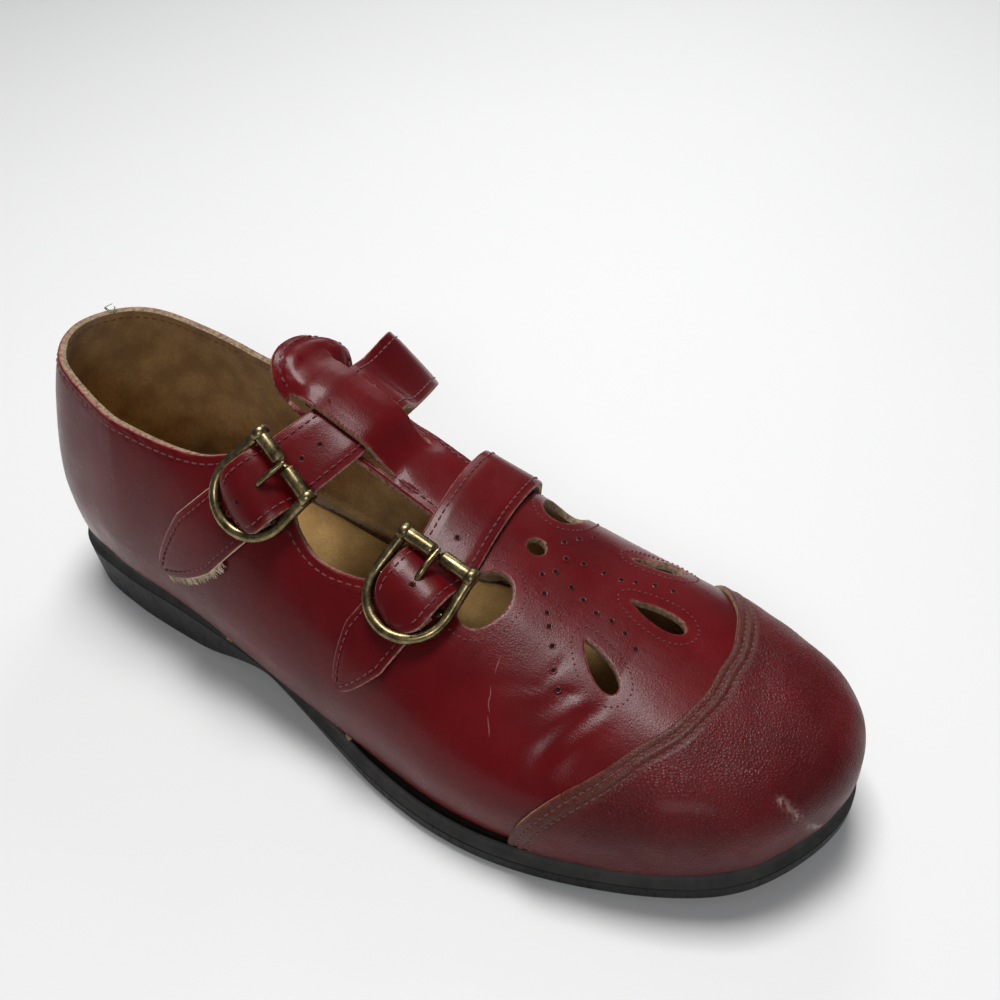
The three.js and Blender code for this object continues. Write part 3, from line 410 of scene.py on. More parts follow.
def split(points, faces, column, level):
    value = points[:, column] - level
    value = np.where(np.abs(value) < 1e-4, 1e-4, value)
    corner = (value > 0)[faces]
    crossing = corner.any(1) & ~corner.all(1)
    if not crossing.any():
        return points, faces
    sides = corner[crossing]
    lone = np.where(sides.sum(1) == 1, sides.argmax(1), (~sides).argmax(1))
    turned = np.take_along_axis(faces[crossing], (lone[:, None] + np.arange(3)) % 3, 1)
    a, b, c = turned.T
    edges = np.sort(np.concatenate([np.stack([a, b], 1), np.stack([a, c], 1)]), 1)
    unique, back = np.unique(edges, axis=0, return_inverse=True)
    back = back.reshape(-1)
    v0, v1 = value[unique[:, 0]], value[unique[:, 1]]
    t = (v0 / (v0 - v1))[:, None]
    fresh = points[unique[:, 0]] * (1 - t) + points[unique[:, 1]] * t
    ab, ac = len(points) + back[: len(a)], len(points) + back[len(a) :]
    parts = [faces[~crossing], np.stack([a, ab, ac], 1), np.stack([ab, b, c], 1), np.stack([ab, c, ac], 1)]
    return np.concatenate([points, fresh]), np.concatenate(parts)


def level_segments(points, faces, column, level):
    value = points[:, column] - level
    value = np.where(np.abs(value) < 1e-5, 1e-5, value)
    corner = (value > 0)[faces]
    crossing = corner.any(1) & ~corner.all(1)
    sides = corner[crossing]
    lone = np.where(sides.sum(1) == 1, sides.argmax(1), (~sides).argmax(1))
    a, b, c = np.take_along_axis(faces[crossing], (lone[:, None] + np.arange(3)) % 3, 1).T

    def cut(p, q):
        t = (value[p] / (value[p] - value[q]))[:, None]
        return points[p] * (1 - t) + points[q] * t

    first, second = cut(a, b), cut(a, c)
    names = np.sort(np.stack([np.stack([a, b], 1), np.stack([a, c], 1)], 1), 2)
    return first, second, names


def level_lines(points, faces, column, level):
    """Polylines where a column takes a level, longest first, each a run of rows of points."""
    first, second, names = level_segments(points, faces, column, level)
    ends = {}
    rows = {}
    for k in range(len(first)):
        for which, row in ((0, first[k]), (1, second[k])):
            key = (int(names[k, which, 0]), int(names[k, which, 1]))
            rows[key] = row
            ends.setdefault(key, []).append(k)
    keys = [[(int(n[0, 0]), int(n[0, 1])), (int(n[1, 0]), int(n[1, 1]))] for n in names]
    unused = set(range(len(first)))
    lines = []

    def follow(k, key):
        run = []
        while k is not None:
            unused.discard(k)
            other = keys[k][1] if keys[k][0] == key else keys[k][0]
            run.append(other)
            key = other
            k = next((n for n in ends[key] if n in unused), None)
        return run

    while unused:
        k = min(unused)
        start = keys[k][0]
        ahead = follow(k, start)
        back_k = next((n for n in ends[start] if n in unused), None)
        behind = follow(back_k, start) if back_k is not None else []
        run = behind[::-1] + [start] + ahead
        lines.append(np.array([rows[key] for key in run]))
    lines.sort(key=lambda line: -length_along(line[:, :3])[-1])
    return lines


def distance_to(points, first, second):
    """Distance from each point to the nearest of the segments."""
    middles = (first + second) / 2
    tree = KDTree(len(middles))
    for k, co in enumerate(middles):
        tree.insert(co, k)
    tree.balance()
    nearest = np.array([[n[1] for n in tree.find_n(co, 4)] for co in points])
    a, b = first[nearest], second[nearest]
    way = b - a
    t = ((points[:, None] - a) * way).sum(2) / np.maximum((way**2).sum(2), 1e-12)
    close = a + way * np.clip(t, 0, 1)[..., None]
    return np.linalg.norm(points[:, None] - close, axis=2).min(1)


def vertex_normals(points, faces):
    corners = points[faces][:, :, :3]
    flat = np.cross(corners[:, 1] - corners[:, 0], corners[:, 2] - corners[:, 0])
    normals = np.zeros((len(points), 3))
    for k in range(3):
        np.add.at(normals, faces[:, k], flat)
    return unit(normals)


def boundary_edges(faces):
    edges = np.concatenate([faces[:, [0, 1]], faces[:, [1, 2]], faces[:, [2, 0]]])
    ordered = np.sort(edges, 1)
    _, back, counts = np.unique(ordered, axis=0, return_inverse=True, return_counts=True)
    return edges[counts[back.reshape(-1)] == 1]


def quad_corners(rows, around):
    """The four corner numbers of each quad between rows of points, every row a closed ring."""
    j, i = np.meshgrid(np.arange(rows - 1), np.arange(around), indexing="ij")
    k = (i + 1) % around
    corners = (j * around + i, j * around + k, (j + 1) * around + k, (j + 1) * around + i)
    return [corner.reshape(-1) for corner in corners]


def make_object(name, points, faces, materials, face_material=None, attributes=None):
    mesh = bpy.data.meshes.new(name)
    mesh.from_pydata((np.asarray(points)[:, :3] * MM).tolist(), [], np.asarray(faces).tolist())
    for material in materials:
        mesh.materials.append(material)
    if face_material is not None:
        mesh.polygons.foreach_set("material_index", np.asarray(face_material, np.int32))
    mesh.polygons.foreach_set("use_smooth", np.full(len(mesh.polygons), True))
    for key, values in (attributes or {}).items():
        attribute = mesh.attributes.new(key, "FLOAT", "POINT")
        attribute.data.foreach_set("value", np.asarray(values, np.float32))
    mesh.update()
    piece = bpy.data.objects.new(name, mesh)
    bpy.context.scene.collection.objects.link(piece)
    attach(piece, "root")
    return piece


def sharpen(piece, degrees):
    piece.data.set_sharp_from_angle(angle=math.radians(degrees))


# The leather's surface


HEEL_LINES, MIDDLE_LINES, TOE_LINES = 46, 128, 64
ARC_ROWS, TUCK_ROWS = 66, 10
TUCK_UNDER = 0.95


def ring_lines():
    at, way, side = [], [], []
    for s in (-1, 1):
        turn = np.arange(HEEL_LINES) / HEEL_LINES * np.pi / 2
        toe = np.arange(TOE_LINES - 1, -1, -1) / TOE_LINES * np.pi / 2
        ats = [np.full(HEEL_LINES, HEEL_POLE), np.linspace(HEEL_POLE, TOE_POLE, MIDDLE_LINES + 1)]
        ats.append(np.full(TOE_LINES, TOE_POLE))
        ways = [np.stack([-np.cos(turn), s * np.sin(turn)], 1), np.tile((0.0, s), (MIDDLE_LINES + 1, 1))]
        ways.append(np.stack([np.cos(toe), s * np.sin(toe)], 1))
        at.append(np.concatenate(ats))
        way.append(np.concatenate(ways))
        side.append(np.full(len(at[-1]), s))
    inner = slice(-2, 0, -1)
    at = np.concatenate([at[0], at[1][inner]])
    way = np.concatenate([way[0], way[1][inner]])
    side = np.concatenate([side[0], side[1][inner]])
    return Lines(at, way, side), side


def surface_grid():
    lines, side = ring_lines()
    arc = np.concatenate([1 - np.arange(ARC_ROWS + 1) / ARC_ROWS, np.zeros(TUCK_ROWS)])
    tuck = np.concatenate([np.zeros(ARC_ROWS + 1), (np.arange(TUCK_ROWS) + 1) / TUCK_ROWS])
    rows = lines.wall(arc, tuck)
    under = rows[-1] - place(*(lines.way.T * TUCK_UNDER), TUCK_UNDER) + place(0, 0, 0)
    rows = np.concatenate([rows, under[None]])
    count, around = rows.shape[:2]
    sides = np.broadcast_to(side[None, :, None], (count, around, 1))
    points = np.concatenate([rows, sides], 2).reshape(-1, 4)
    a, b, c, d = quad_corners(count, around)
    faces = np.concatenate([np.stack([a, c, b], 1), np.stack([a, d, c], 1)])
    return weld(points, faces)


def polygon_distance(p, outline):
    """Signed distance from points to a closed outline, positive inside."""
    a, b = outline, np.roll(outline, -1, 0)
    way = b - a
    offset = p[:, None] - a[None]
    t = np.clip((offset * way).sum(2) / (way**2).sum(1), 0, 1)
    distance = np.linalg.norm(offset - way * t[..., None], axis=2).min(1)
    above = (a[None, :, 1] <= p[:, None, 1]) != (b[None, :, 1] <= p[:, None, 1])
    with np.errstate(all="ignore"):
        cut = a[None, :, 0] + (p[:, None, 1] - a[None, :, 1]) / (b - a)[None, :, 1] * (b - a)[None, :, 0]
    inside = ((above & (p[:, None, 0] < cut)).sum(1) % 2).astype(bool)
    return np.where(inside, distance, -distance)


def smooth_max(a, b, radius):
    blend = np.maximum(radius - np.abs(a - b), 0) / radius
    return np.maximum(a, b) + blend**2 * radius / 4


def bar_outline():
    outer = np.array([(at * LAST_LENGTH, ridge_across(at) - half * T_BAR_WIDTH / 2) for at, half, _ in T_BAR])
    inner = np.array([(at * LAST_LENGTH, ridge_across(at) + half * T_BAR_WIDTH / 2) for at, _, half in T_BAR])
    side = np.concatenate([outer, inner[::-1]])
    return catmull(side, 160)


def teardrop(drop):
    turn = math.radians(drop[2])
    angle = np.arange(48) / 48 * 2 * np.pi
    a = -np.cos(angle) * TEARDROP_LENGTH / 2
    b = np.sin(angle) * TEARDROP_WIDTH / 2 * np.sin(angle / 2) * 1.25
    along = drop[0] * LAST_LENGTH + a * math.cos(turn) - b * math.sin(turn)
    across = drop[1] * BALL_WIDTH - a * math.sin(turn) - b * math.cos(turn)
    return np.stack([along, across], 1)


def oval(hole, length, width):
    turn = math.radians(hole[2])
    angle = np.arange(40) / 40 * 2 * np.pi
    a, b = np.cos(angle) * length / 2, np.sin(angle) * width / 2
    along = hole[0] * LAST_LENGTH + a * math.cos(turn) + b * math.sin(turn)
    across = hole[1] * BALL_WIDTH - a * math.sin(turn) + b * math.cos(turn)
    return np.stack([along, across], 1)


BAR_OUTLINE = bar_outline()
HOLES = [oval(PUNCHED_HOLE, PUNCHED_HOLE_WIDTH, PUNCHED_HOLE_WIDTH)]
HOLES += [oval(hole, SIDE_HOLE_LENGTH, SIDE_HOLE_WIDTH) for hole in SIDE_HOLES]
HOLES += [teardrop(drop) for drop in TEARDROPS]


def plan_of(points):
    return np.stack([MIDDLE[0] - points[:, 1], points[:, 0] + MIDDLE[1]], 1)


def leather_field(points):
    """Positive on leather, negative in the openings, roughly in millimetres."""
    plan = plan_of(points)
    at, height = plan[:, 0] / LAST_LENGTH, points[:, 2]
    inner_share = ease((plan[:, 1] - ridge_across(np.clip(at, HEEL_POLE, TOE_POLE))) / COLLAR_BLEND + 0.5)
    top_share = read(OUTER_TOP_LINE, at, 1) * (1 - inner_share) + read(INNER_TOP_LINE, at, 1) * inner_share
    top = top_share * COLLAR_HEIGHT - height
    front = (at - OPENING_FRONT) * LAST_LENGTH
    field = smooth_max(top, front, 6.0)
    near = (at > 0.28) & (at < 0.62)
    bar = np.full(len(points), -50.0)
    bar[near] = polygon_distance(plan[near], BAR_OUTLINE)
    field = smooth_max(field, bar, 5.0)
    for outline in HOLES:
        low, high = outline.min(0) - 8, outline.max(0) + 8
        near = (plan > low).all(1) & (plan < high).all(1) & (height > 25)
        hole = np.full(len(points), 50.0)
        hole[near] = -polygon_distance(plan[near], outline)
        field = np.minimum(field, hole)
    return field


def bridge_off(plan):
    """Distance across from the bridge's middle line, shifted so that each slit lies at SLIT_AT."""
    off = plan[:, 1] - ridge_across(plan[:, 0] / LAST_LENGTH)
    return np.where(off > 0, off + SLIT_SHIFT * ease(off / 6), SLIT_SHIFT_OUT * ease(-off / 6) - off)


def slit_field(points):
    plan = plan_of(points)
    off = bridge_off(plan)
    start, end = (at * LAST_LENGTH for at in SLITS)
    past = np.maximum(np.maximum(start - plan[:, 0], plan[:, 0] - end), 0)
    return np.hypot(past, off - SLIT_AT) - SLIT_RADIUS


def bar_relief(points, field):
    """How far the T bar's leather stands off the last: the bridge, the low outer strips, the padded end."""
    plan = plan_of(points)
    at = plan[:, 0] / LAST_LENGTH
    off = bridge_off(plan)
    on_top = (at > 0.27) & (at < 0.56) & (points[:, 2] > 55)
    rim = np.full(len(points), -20.0)
    rim[on_top] = polygon_distance(plan[on_top], BAR_OUTLINE)
    by_bar = ease((rim + 2.5) / 2.5)
    rise = read(BRIDGE_RISE, at, 1)
    sharp = 1 - ease((off - SLIT_AT) / 0.3)
    soft = 1 - ease((off - SLIT_AT + 4) / 8)
    outside = ease(np.maximum(np.maximum(SLITS[0] - at, at - SLITS[1]), 0) * LAST_LENGTH / 4)
    bridge = BRIDGE_LIFT * rise * (sharp + (soft - sharp) * outside)
    inner = ease((plan[:, 1] - ridge_across(at) - 2) / 12)
    pad = (PAD_PUFF + PAD_INNER_LIFT * inner) * ease((rim + 0.4) / 6) * (1 - ease((at - 0.345) / 0.03))
    flare = (1.2 + 1.2 * inner) * (1 - ease((at - 0.31) / 0.035)) * by_bar
    by_slits = ease((at - SLITS[0] + 0.01) / 0.02) * (1 - ease((at - 0.45) / 0.03))
    strips = -0.5 * by_slits * ease((off - SLIT_AT) / 0.4)
    crown = 0.5 * ease(field / 5) * ease((at - 0.34) / 0.03) * (1 - ease((at - 0.5) / 0.08))
    return np.where(on_top, bridge + pad + flare + strips + crown, 0)


# Creases: from and to as at, across shares, then width and depth in millimetres, troughs negative
CREASES = [
    ((0.776, -0.243), (0.744, -0.45), 1.9, -0.42),
    ((0.766, -0.24), (0.728, -0.43), 1.7, 0.26),
    ((0.753, -0.232), (0.722, -0.36), 1.0, -0.24),
    ((0.74, -0.25), (0.715, -0.35), 0.8, -0.2),
    ((0.789, -0.25), (0.757, -0.46), 2.0, 0.24),
    ((0.668, -0.35), (0.72, -0.27), 1.6, -0.16),
    ((0.73, -0.271), (0.752, -0.235), 0.7, -0.2),
    ((0.728, -0.16), (0.715, -0.3), 1.2, -0.16),
    ((0.735, 0.4), (0.72, 0.27), 2.0, -0.3),
    ((0.755, 0.42), (0.74, 0.34), 1.8, 0.22),
]


def crease_relief(points):
    plan = plan_of(points)
    relief = np.zeros(len(points))
    for start, end, width, depth in CREASES:
        a = np.array(start) * (LAST_LENGTH, BALL_WIDTH)
        b = np.array(end) * (LAST_LENGTH, BALL_WIDTH)
        t = ((plan - a) @ (b - a)) / ((b - a) @ (b - a))
        distance = np.linalg.norm(plan - a - (b - a) * np.clip(t, 0, 1)[:, None], axis=1)
        fade = np.sin(np.clip(t, 0, 1) * np.pi) ** 0.5
        relief += depth * np.exp(-((distance / width) ** 2)) * (0.25 + 0.75 * fade) * (points[:, 2] > 22)
    return relief


def trimmed(points, faces, field, levels):
    """Cuts a sheet at field 0, keeps the positive side and adds rows of points at the given distances."""
    points = np.concatenate([points, field[:, None]], 1)
    column = points.shape[1] - 1
    first, second, _ = level_segments(points, faces, column, 0)
    distance = distance_to(points[:, :3], first[:, :3], second[:, :3])
    points[:, column] = np.where(points[:, column] > 0, distance, -distance)
    for level in levels:
        points, faces = split(points, faces, column, level)
    points, faces = split(points, faces, column, 0)
    keep = (points[faces, column].mean(1) > 0) & (points[faces, column].min(1) > -2e-4)
    points, faces = used(points, faces[keep])
    points, faces = weld(points, faces, 2e-3)
    return used(points, faces), column


def thicken(points, faces, depth, wall, normals, inward=None):
    """A sheet with a thickness, its outer edge rounded by depth. Returns points, faces and face kinds."""
    count = len(points)
    outer = points[:, :3] - normals * depth[:, None]
    edges = boundary_edges(faces)
    inner = points[:, :3] - (normals if inward is None else inward) * np.asarray(wall)[:, None]
    middle = (outer + inner) / 2
    rim = np.unique(edges)
    lookup = np.full(count, -1)
    lookup[rim] = 2 * count + np.arange(len(rim))
    a, b = edges.T
    ma, mb = lookup[a], lookup[b]
    walls = [
        np.stack([b, a, ma], 1), np.stack([b, ma, mb], 1),
        np.stack([mb, ma, a + count], 1), np.stack([mb, a + count, b + count], 1),
    ]
    back = faces[:, ::-1] + count
    everything = np.concatenate([faces, back, *walls])
    kinds = np.concatenate([np.zeros(len(faces)), np.full(len(back), 2), np.full(4 * len(edges), 1)])
    return np.concatenate([outer, inner, middle[rim]]), everything, kinds.astype(int)


def round_depth(distance, radius):
    return radius - np.sqrt(np.maximum(radius**2 - np.maximum(radius - distance, 0) ** 2, 0))


def upper_sheet():
    points, faces = surface_grid()
    plan = plan_of(points)
    far = (plan[:, 0] < 80) | (plan[:, 0] > 128)
    outer = plan[:, 1] < ridge_across(np.clip(plan[:, 0] / LAST_LENGTH, HEEL_POLE, TOE_POLE))
    off = np.where(far, 99, bridge_off(plan) * np.where(outer, -1, 1))
    points = np.concatenate([points, off[:, None]], 1)
    for level in (SLIT_AT - SLIT_RADIUS, SLIT_AT, SLIT_AT + SLIT_RADIUS):
        points, faces = split(points, faces, 4, level)
        points, faces = split(points, faces, 4, -level)
    field = np.minimum(leather_field(points), slit_field(points))
    return trimmed(points, faces, field, (EDGE_ROUND, EDGE_ROUND * 0.3, 3.4, 7.0))


# Finishes


class Paint:
    """A procedural finish, its features sized in millimetres."""

    def __init__(self, name, roughness, metallic=0.0, coat=0.0, sheen=0.0):
        self.material = bpy.data.materials.new(name)
        self.material.use_nodes = True
        self.tree = self.material.node_tree
        self.shader = self.tree.nodes["Principled BSDF"]
        self.set("Roughness", roughness)
        self.set("Metallic", metallic)
        self.set("Coat Weight", coat)
        self.set("Coat Roughness", 0.16)
        self.set("Sheen Weight", sheen)
        self.place = self.node("ShaderNodeTexCoord").outputs["Object"]
        self.bumped = None

    def node(self, kind, **settings):
        made = self.tree.nodes.new(kind)
        for key, value in settings.items():
            setattr(made, key, value)
        return made

    def set(self, socket, value):
        if hasattr(value, "is_output"):
            self.tree.links.new(value, self.shader.inputs[socket])
        else:
            self.shader.inputs[socket].default_value = value

    def noise(self, size, detail=3.0, stretch=None):
        place = self.place
        if stretch is not None:
            mapping = self.node("ShaderNodeMapping")
            mapping.inputs["Scale"].default_value = stretch
            self.tree.links.new(place, mapping.inputs["Vector"])
            place = mapping.outputs["Vector"]
        made = self.node("ShaderNodeTexNoise")
        made.inputs["Scale"].default_value = 1000 / size
        made.inputs["Detail"].default_value = detail
        self.tree.links.new(place, made.inputs["Vector"])
        return made.outputs["Fac"]

    def cells(self, size):
        made = self.node("ShaderNodeTexVoronoi", feature="DISTANCE_TO_EDGE")
        made.inputs["Scale"].default_value = 1000 / size
        self.tree.links.new(self.place, made.inputs["Vector"])
        return made.outputs["Distance"]

    def attribute(self, name):
        return self.node("ShaderNodeAttribute", attribute_name=name).outputs["Fac"]

    def span(self, value, low, high, to_low=0.0, to_high=1.0):
        made = self.node("ShaderNodeMapRange")
        self.tree.links.new(value, made.inputs["Value"])
        for socket, number in zip(("From Min", "From Max", "To Min", "To Max"), (low, high, to_low, to_high)):
            made.inputs[socket].default_value = number
        return made.outputs["Result"]

    def times(self, a, b):
        made = self.node("ShaderNodeMath", operation="MULTIPLY")
        for k, value in enumerate((a, b)):
            if hasattr(value, "is_output"):
                self.tree.links.new(value, made.inputs[k])
            else:
                made.inputs[k].default_value = value
        return made.outputs[0]

    def mix(self, share, first, second):
        made = self.node("ShaderNodeMix", data_type="RGBA")
        self.tree.links.new(share, made.inputs[0])
        for k, value in ((6, first), (7, second)):
            if hasattr(value, "is_output"):
                self.tree.links.new(value, made.inputs[k])
            else:
                made.inputs[k].default_value = (*value, 1)
        return made.outputs[2]

    def bump(self, value, depth, strength=1.0):
        made = self.node("ShaderNodeBump")
        made.inputs["Strength"].default_value = strength
        made.inputs["Distance"].default_value = depth * MM
        self.tree.links.new(value, made.inputs["Height"])
        if self.bumped is not None:
            self.tree.links.new(self.bumped, made.inputs["Normal"])
        self.bumped = made.outputs["Normal"]
        self.tree.links.new(self.bumped, self.shader.inputs["Normal"])


OXBLOOD_DARK, OXBLOOD_LIGHT = (0.082, 0.0026, 0.0040), (0.122, 0.0042, 0.0062)
OXBLOOD_WORN = (0.22, 0.045, 0.035)
OXBLOOD_BARE = (0.44, 0.21, 0.16)
CAP_DARK, CAP_LIGHT = (0.080, 0.0030, 0.0042), (0.118, 0.0050, 0.0065)
CAP_PIT, CAP_BAND, CAP_SCUFFED = (0.028, 0.0016, 0.0024), (0.082, 0.026, 0.016), (0.5, 0.36, 0.32)


def leather_paint(name, grain, rough_low, rough_high, coat):
    paint = Paint(name, 0.35, coat=coat)
    paint.set("Specular IOR Level", 0.14)
    tone = paint.mix(paint.span(paint.noise(26, 4), 0.36, 0.64), OXBLOOD_DARK, OXBLOOD_LIGHT)
    fleck = paint.span(paint.noise(1.6, 3), 0.55, 0.78, 0, 0.35)
    tone = paint.mix(fleck, tone, OXBLOOD_DARK)
    near_edge = paint.span(paint.attribute("edge"), 0.0, 1.1, 1, 0)
    wear = paint.times(near_edge, paint.span(paint.noise(4, 4), 0.42, 0.62))
    tone = paint.mix(paint.times(wear, 0.45), tone, OXBLOOD_WORN)
    at_edge = paint.span(paint.attribute("edge"), 0.05, 0.3, 0.75, 0)
    bare = paint.times(at_edge, paint.span(paint.noise(1.1, 4), 0.3, 0.5))
    tone = paint.mix(bare, tone, OXBLOOD_BARE)
    paint.set("Base Color", tone)
    paint.set("Roughness", paint.span(paint.noise(9, 5), 0.35, 0.7, rough_low, rough_high))
    paint.bump(paint.noise(14, 3), 0.3, 0.4)
    paint.bump(paint.cells(0.75), 0.07 * grain, 0.5)
    paint.bump(paint.noise(0.5, 4), 0.06 * grain, 0.6)
    paint.bump(paint.span(paint.noise(2.2, 5, (1, 0.12, 1)), 0.5, 0.56), 0.02, 0.5)
    return paint.material


def cap_paint():
    paint = Paint("cap_leather", 0.42, coat=0.05)
    paint.set("Specular IOR Level", 0.2)
    tone = paint.mix(paint.span(paint.noise(22, 3), 0.36, 0.64), CAP_DARK, CAP_LIGHT)
    pits = paint.span(paint.cells(0.85), 0.0, 0.13, 0.55, 0)
    tone = paint.mix(pits, tone, CAP_PIT)
    back_edge = paint.span(paint.attribute("edge"), 4.6, 6.2, 1, 0)
    band = paint.times(back_edge, paint.span(paint.noise(1.5, 5), 0.34, 0.6, 0.25, 0.95))
    tone = paint.mix(band, tone, CAP_BAND)
    scuffed = paint.times(paint.attribute("scuff"), paint.span(paint.noise(1.3, 5), 0.4, 0.56, 0.1, 0.95))
    tone = paint.mix(scuffed, tone, CAP_SCUFFED)
    near_edge = paint.span(paint.attribute("edge"), 0.0, 0.7, 1, 0)
    worn = paint.times(near_edge, paint.span(paint.noise(3, 3), 0.35, 0.6))
    tone = paint.mix(paint.times(worn, 0.6), tone, OXBLOOD_WORN)
    paint.set("Base Color", tone)
    paint.set("Roughness", paint.span(paint.noise(6, 5), 0.35, 0.7, 0.36, 0.52))
    paint.bump(paint.noise(11, 3), 0.3, 0.4)
    paint.bump(paint.cells(0.85), 0.3, 0.75)
    paint.bump(paint.noise(0.6, 4), 0.14, 0.7)
    return paint.material


def hide_paint(name, dark, light, fibre):
    paint = Paint(name, 0.95, sheen=0.25)
    tone = paint.mix(paint.span(paint.noise(9, 5), 0.38, 0.62), dark, light)
    nap = paint.span(paint.noise(0.8, 4), 0.4, 0.7, 0, 0.4)
    paint.set("Base Color", paint.mix(nap, tone, tuple(0.6 * c for c in dark)))
    paint.bump(paint.noise(fibre, 5, (1, 0.5, 1)), 0.35, 0.7)
    return paint.material


def raw_edge_paint(name, dark, light):
    paint = Paint(name, 0.85)
    layers = paint.span(paint.noise(1.1, 4), 0.35, 0.68)
    paint.set("Base Color", paint.mix(layers, dark, light))
    paint.bump(paint.noise(0.5, 4), 0.25, 0.8)
    return paint.material


def rubber_paint(name, dark, light, roughness):
    paint = Paint(name, roughness)
    paint.set("Specular IOR Level", 0.25)
    paint.set("Base Color", paint.mix(paint.span(paint.noise(7, 5), 0.35, 0.68), dark, light))
    dust = paint.span(paint.noise(1.4, 5, (1, 1, 0.3)), 0.52, 0.72, roughness, roughness + 0.22)
    paint.set("Roughness", dust)
    paint.bump(paint.noise(0.8, 4), 0.10, 0.6)
    paint.bump(paint.noise(5, 3), 0.15, 0.4)
    return paint.material


def brass_paint():
    paint = Paint("antique_brass", 0.3, metallic=1.0)
    tone = paint.mix(paint.span(paint.noise(3.2, 5), 0.36, 0.66), (0.10, 0.078, 0.036), (0.30, 0.235, 0.115))
    paint.set("Base Color", tone)
    paint.set("Roughness", paint.span(paint.noise(1.3, 5), 0.3, 0.7, 0.2, 0.42))
    paint.bump(paint.noise(1.6, 4), 0.03, 0.4)
    return paint.material


def thread_paint(name, dark, light):
    paint = Paint(name, 0.7, sheen=0.2)
    paint.set("Base Color", paint.mix(paint.span(paint.noise(0.5, 3), 0.35, 0.65), dark, light))
    paint.bump(paint.noise(0.25, 2), 0.08, 0.8)
    return paint.material


def floor_paint():
    paint = Paint("floor", 0.6)
    paint.set("Base Color", paint.mix(paint.noise(300, 2), (0.84, 0.84, 0.83), (0.88, 0.88, 0.87)))
    return paint.material


LEATHER = leather_paint("oxblood_leather", 1.0, 0.25, 0.36, 0.1)
STRAP_LEATHER = leather_paint("strap_leather", 0.8, 0.24, 0.36, 0.12)
CAP_LEATHER = cap_paint()
LINING = hide_paint("suede_lining", (0.30, 0.175, 0.062), (0.46, 0.29, 0.115), 1.1)
INSOLE = hide_paint("insole_leather", (0.42, 0.245, 0.078), (0.56, 0.35, 0.125), 0.9)
RAW_EDGE = raw_edge_paint("raw_edge", (0.17, 0.10, 0.055), (0.38, 0.285, 0.18))
STRAP_EDGE = raw_edge_paint("strap_edge", (0.24, 0.085, 0.065), (0.50, 0.31, 0.24))
SCRATCH = thread_paint("scratched_leather", (0.14, 0.03, 0.03), (0.27, 0.09, 0.085))
FRAYED = hide_paint("frayed_edge", (0.45, 0.34, 0.22), (0.75, 0.62, 0.45), 0.6)
RUBBER = rubber_paint("black_rubber", (0.007, 0.007, 0.007), (0.014, 0.014, 0.014), 0.55)
# The bevel band's rubber is painted a lighter grey than the black rubber: painted light for the band's
# upward-facing slope.
RUBBER_BAND_PAINTED_LIGHT = rubber_paint("sole_band_rubber_painted_light", (0.030, 0.029, 0.028), (0.052, 0.050, 0.047), 0.6)
BRASS = brass_paint()
THREAD = thread_paint("red_thread", (0.085, 0.008, 0.010), (0.20, 0.028, 0.030))
LINING_THREAD = thread_paint("lining_thread", (0.20, 0.05, 0.035), (0.36, 0.12, 0.08))
GREEN_THREAD = thread_paint("green_thread", (0.10, 0.16, 0.05), (0.24, 0.32, 0.14))
# Near black, painted as the shade inside punched holes and strap holes.
HOLE_SHADE = rubber_paint("hole_shade", (0.004, 0.001, 0.001), (0.010, 0.002, 0.003), 0.9)


# Small pieces set along lines


def stitches(name, lines, material, pitch=2.9, length=2.3, radius=0.3):
    """Lines are pairs of points and normals; each stitch bows up between its ends."""
    t = np.array([-1, -0.86, -0.5, 0, 0.5, 0.86, 1])
    angle = np.arange(6) / 6 * 2 * np.pi
    points, faces, base = [], [], 0
    for line, normals in lines:
        run = length_along(line)
        count = int(run[-1] / pitch)
        if count < 1:
            continue
        centres = (np.arange(count) + 0.5) * run[-1] / count
        where = np.clip(centres[:, None] + t * length / 2, 0, run[-1])
        ahead, behind = np.clip(where + 0.2, 0, run[-1]), np.clip(where - 0.2, 0, run[-1])

        def at(values, s):
            return np.stack([np.interp(s, run, values[:, k]) for k in range(3)], -1)

        up = unit(at(normals, where))
        way = unit(at(line, ahead) - at(line, behind))
        side = unit(np.cross(up, way))
        size = radius * np.sqrt(np.maximum(1 - t**4, 0)) + 0.02
        lift = radius * (0.55 * (1 - t**2) - 0.35 * t**6)
        centre = at(line, where) + up * lift[:, None]
        ring = centre[:, :, None] + side[:, :, None] * (size[:, None] * np.cos(angle))[None, :, :, None]
        ring = ring + up[:, :, None] * (0.85 * size[:, None] * np.sin(angle))[None, :, :, None]
        points.append(ring.reshape(-1, 3))
        rows, sides = len(t), len(angle)
        a, b, c, d = quad_corners(rows, sides)
        body = np.concatenate([np.stack([a, b, c], 1), np.stack([a, c, d], 1)])
        fan = np.array([[0, m + 1, m] for m in range(1, sides - 1)])
        last = np.array([[0, m, m + 1] for m in range(1, sides - 1)]) + (rows - 1) * sides
        one = np.concatenate([body, fan, last])
        starts = base + np.arange(count) * rows * sides
        faces.append((one[None] + starts[:, None, None]).reshape(-1, 3))
        base += count * rows * sides
    piece = make_object(name, np.concatenate(points), np.concatenate(faces), [material])
    return piece


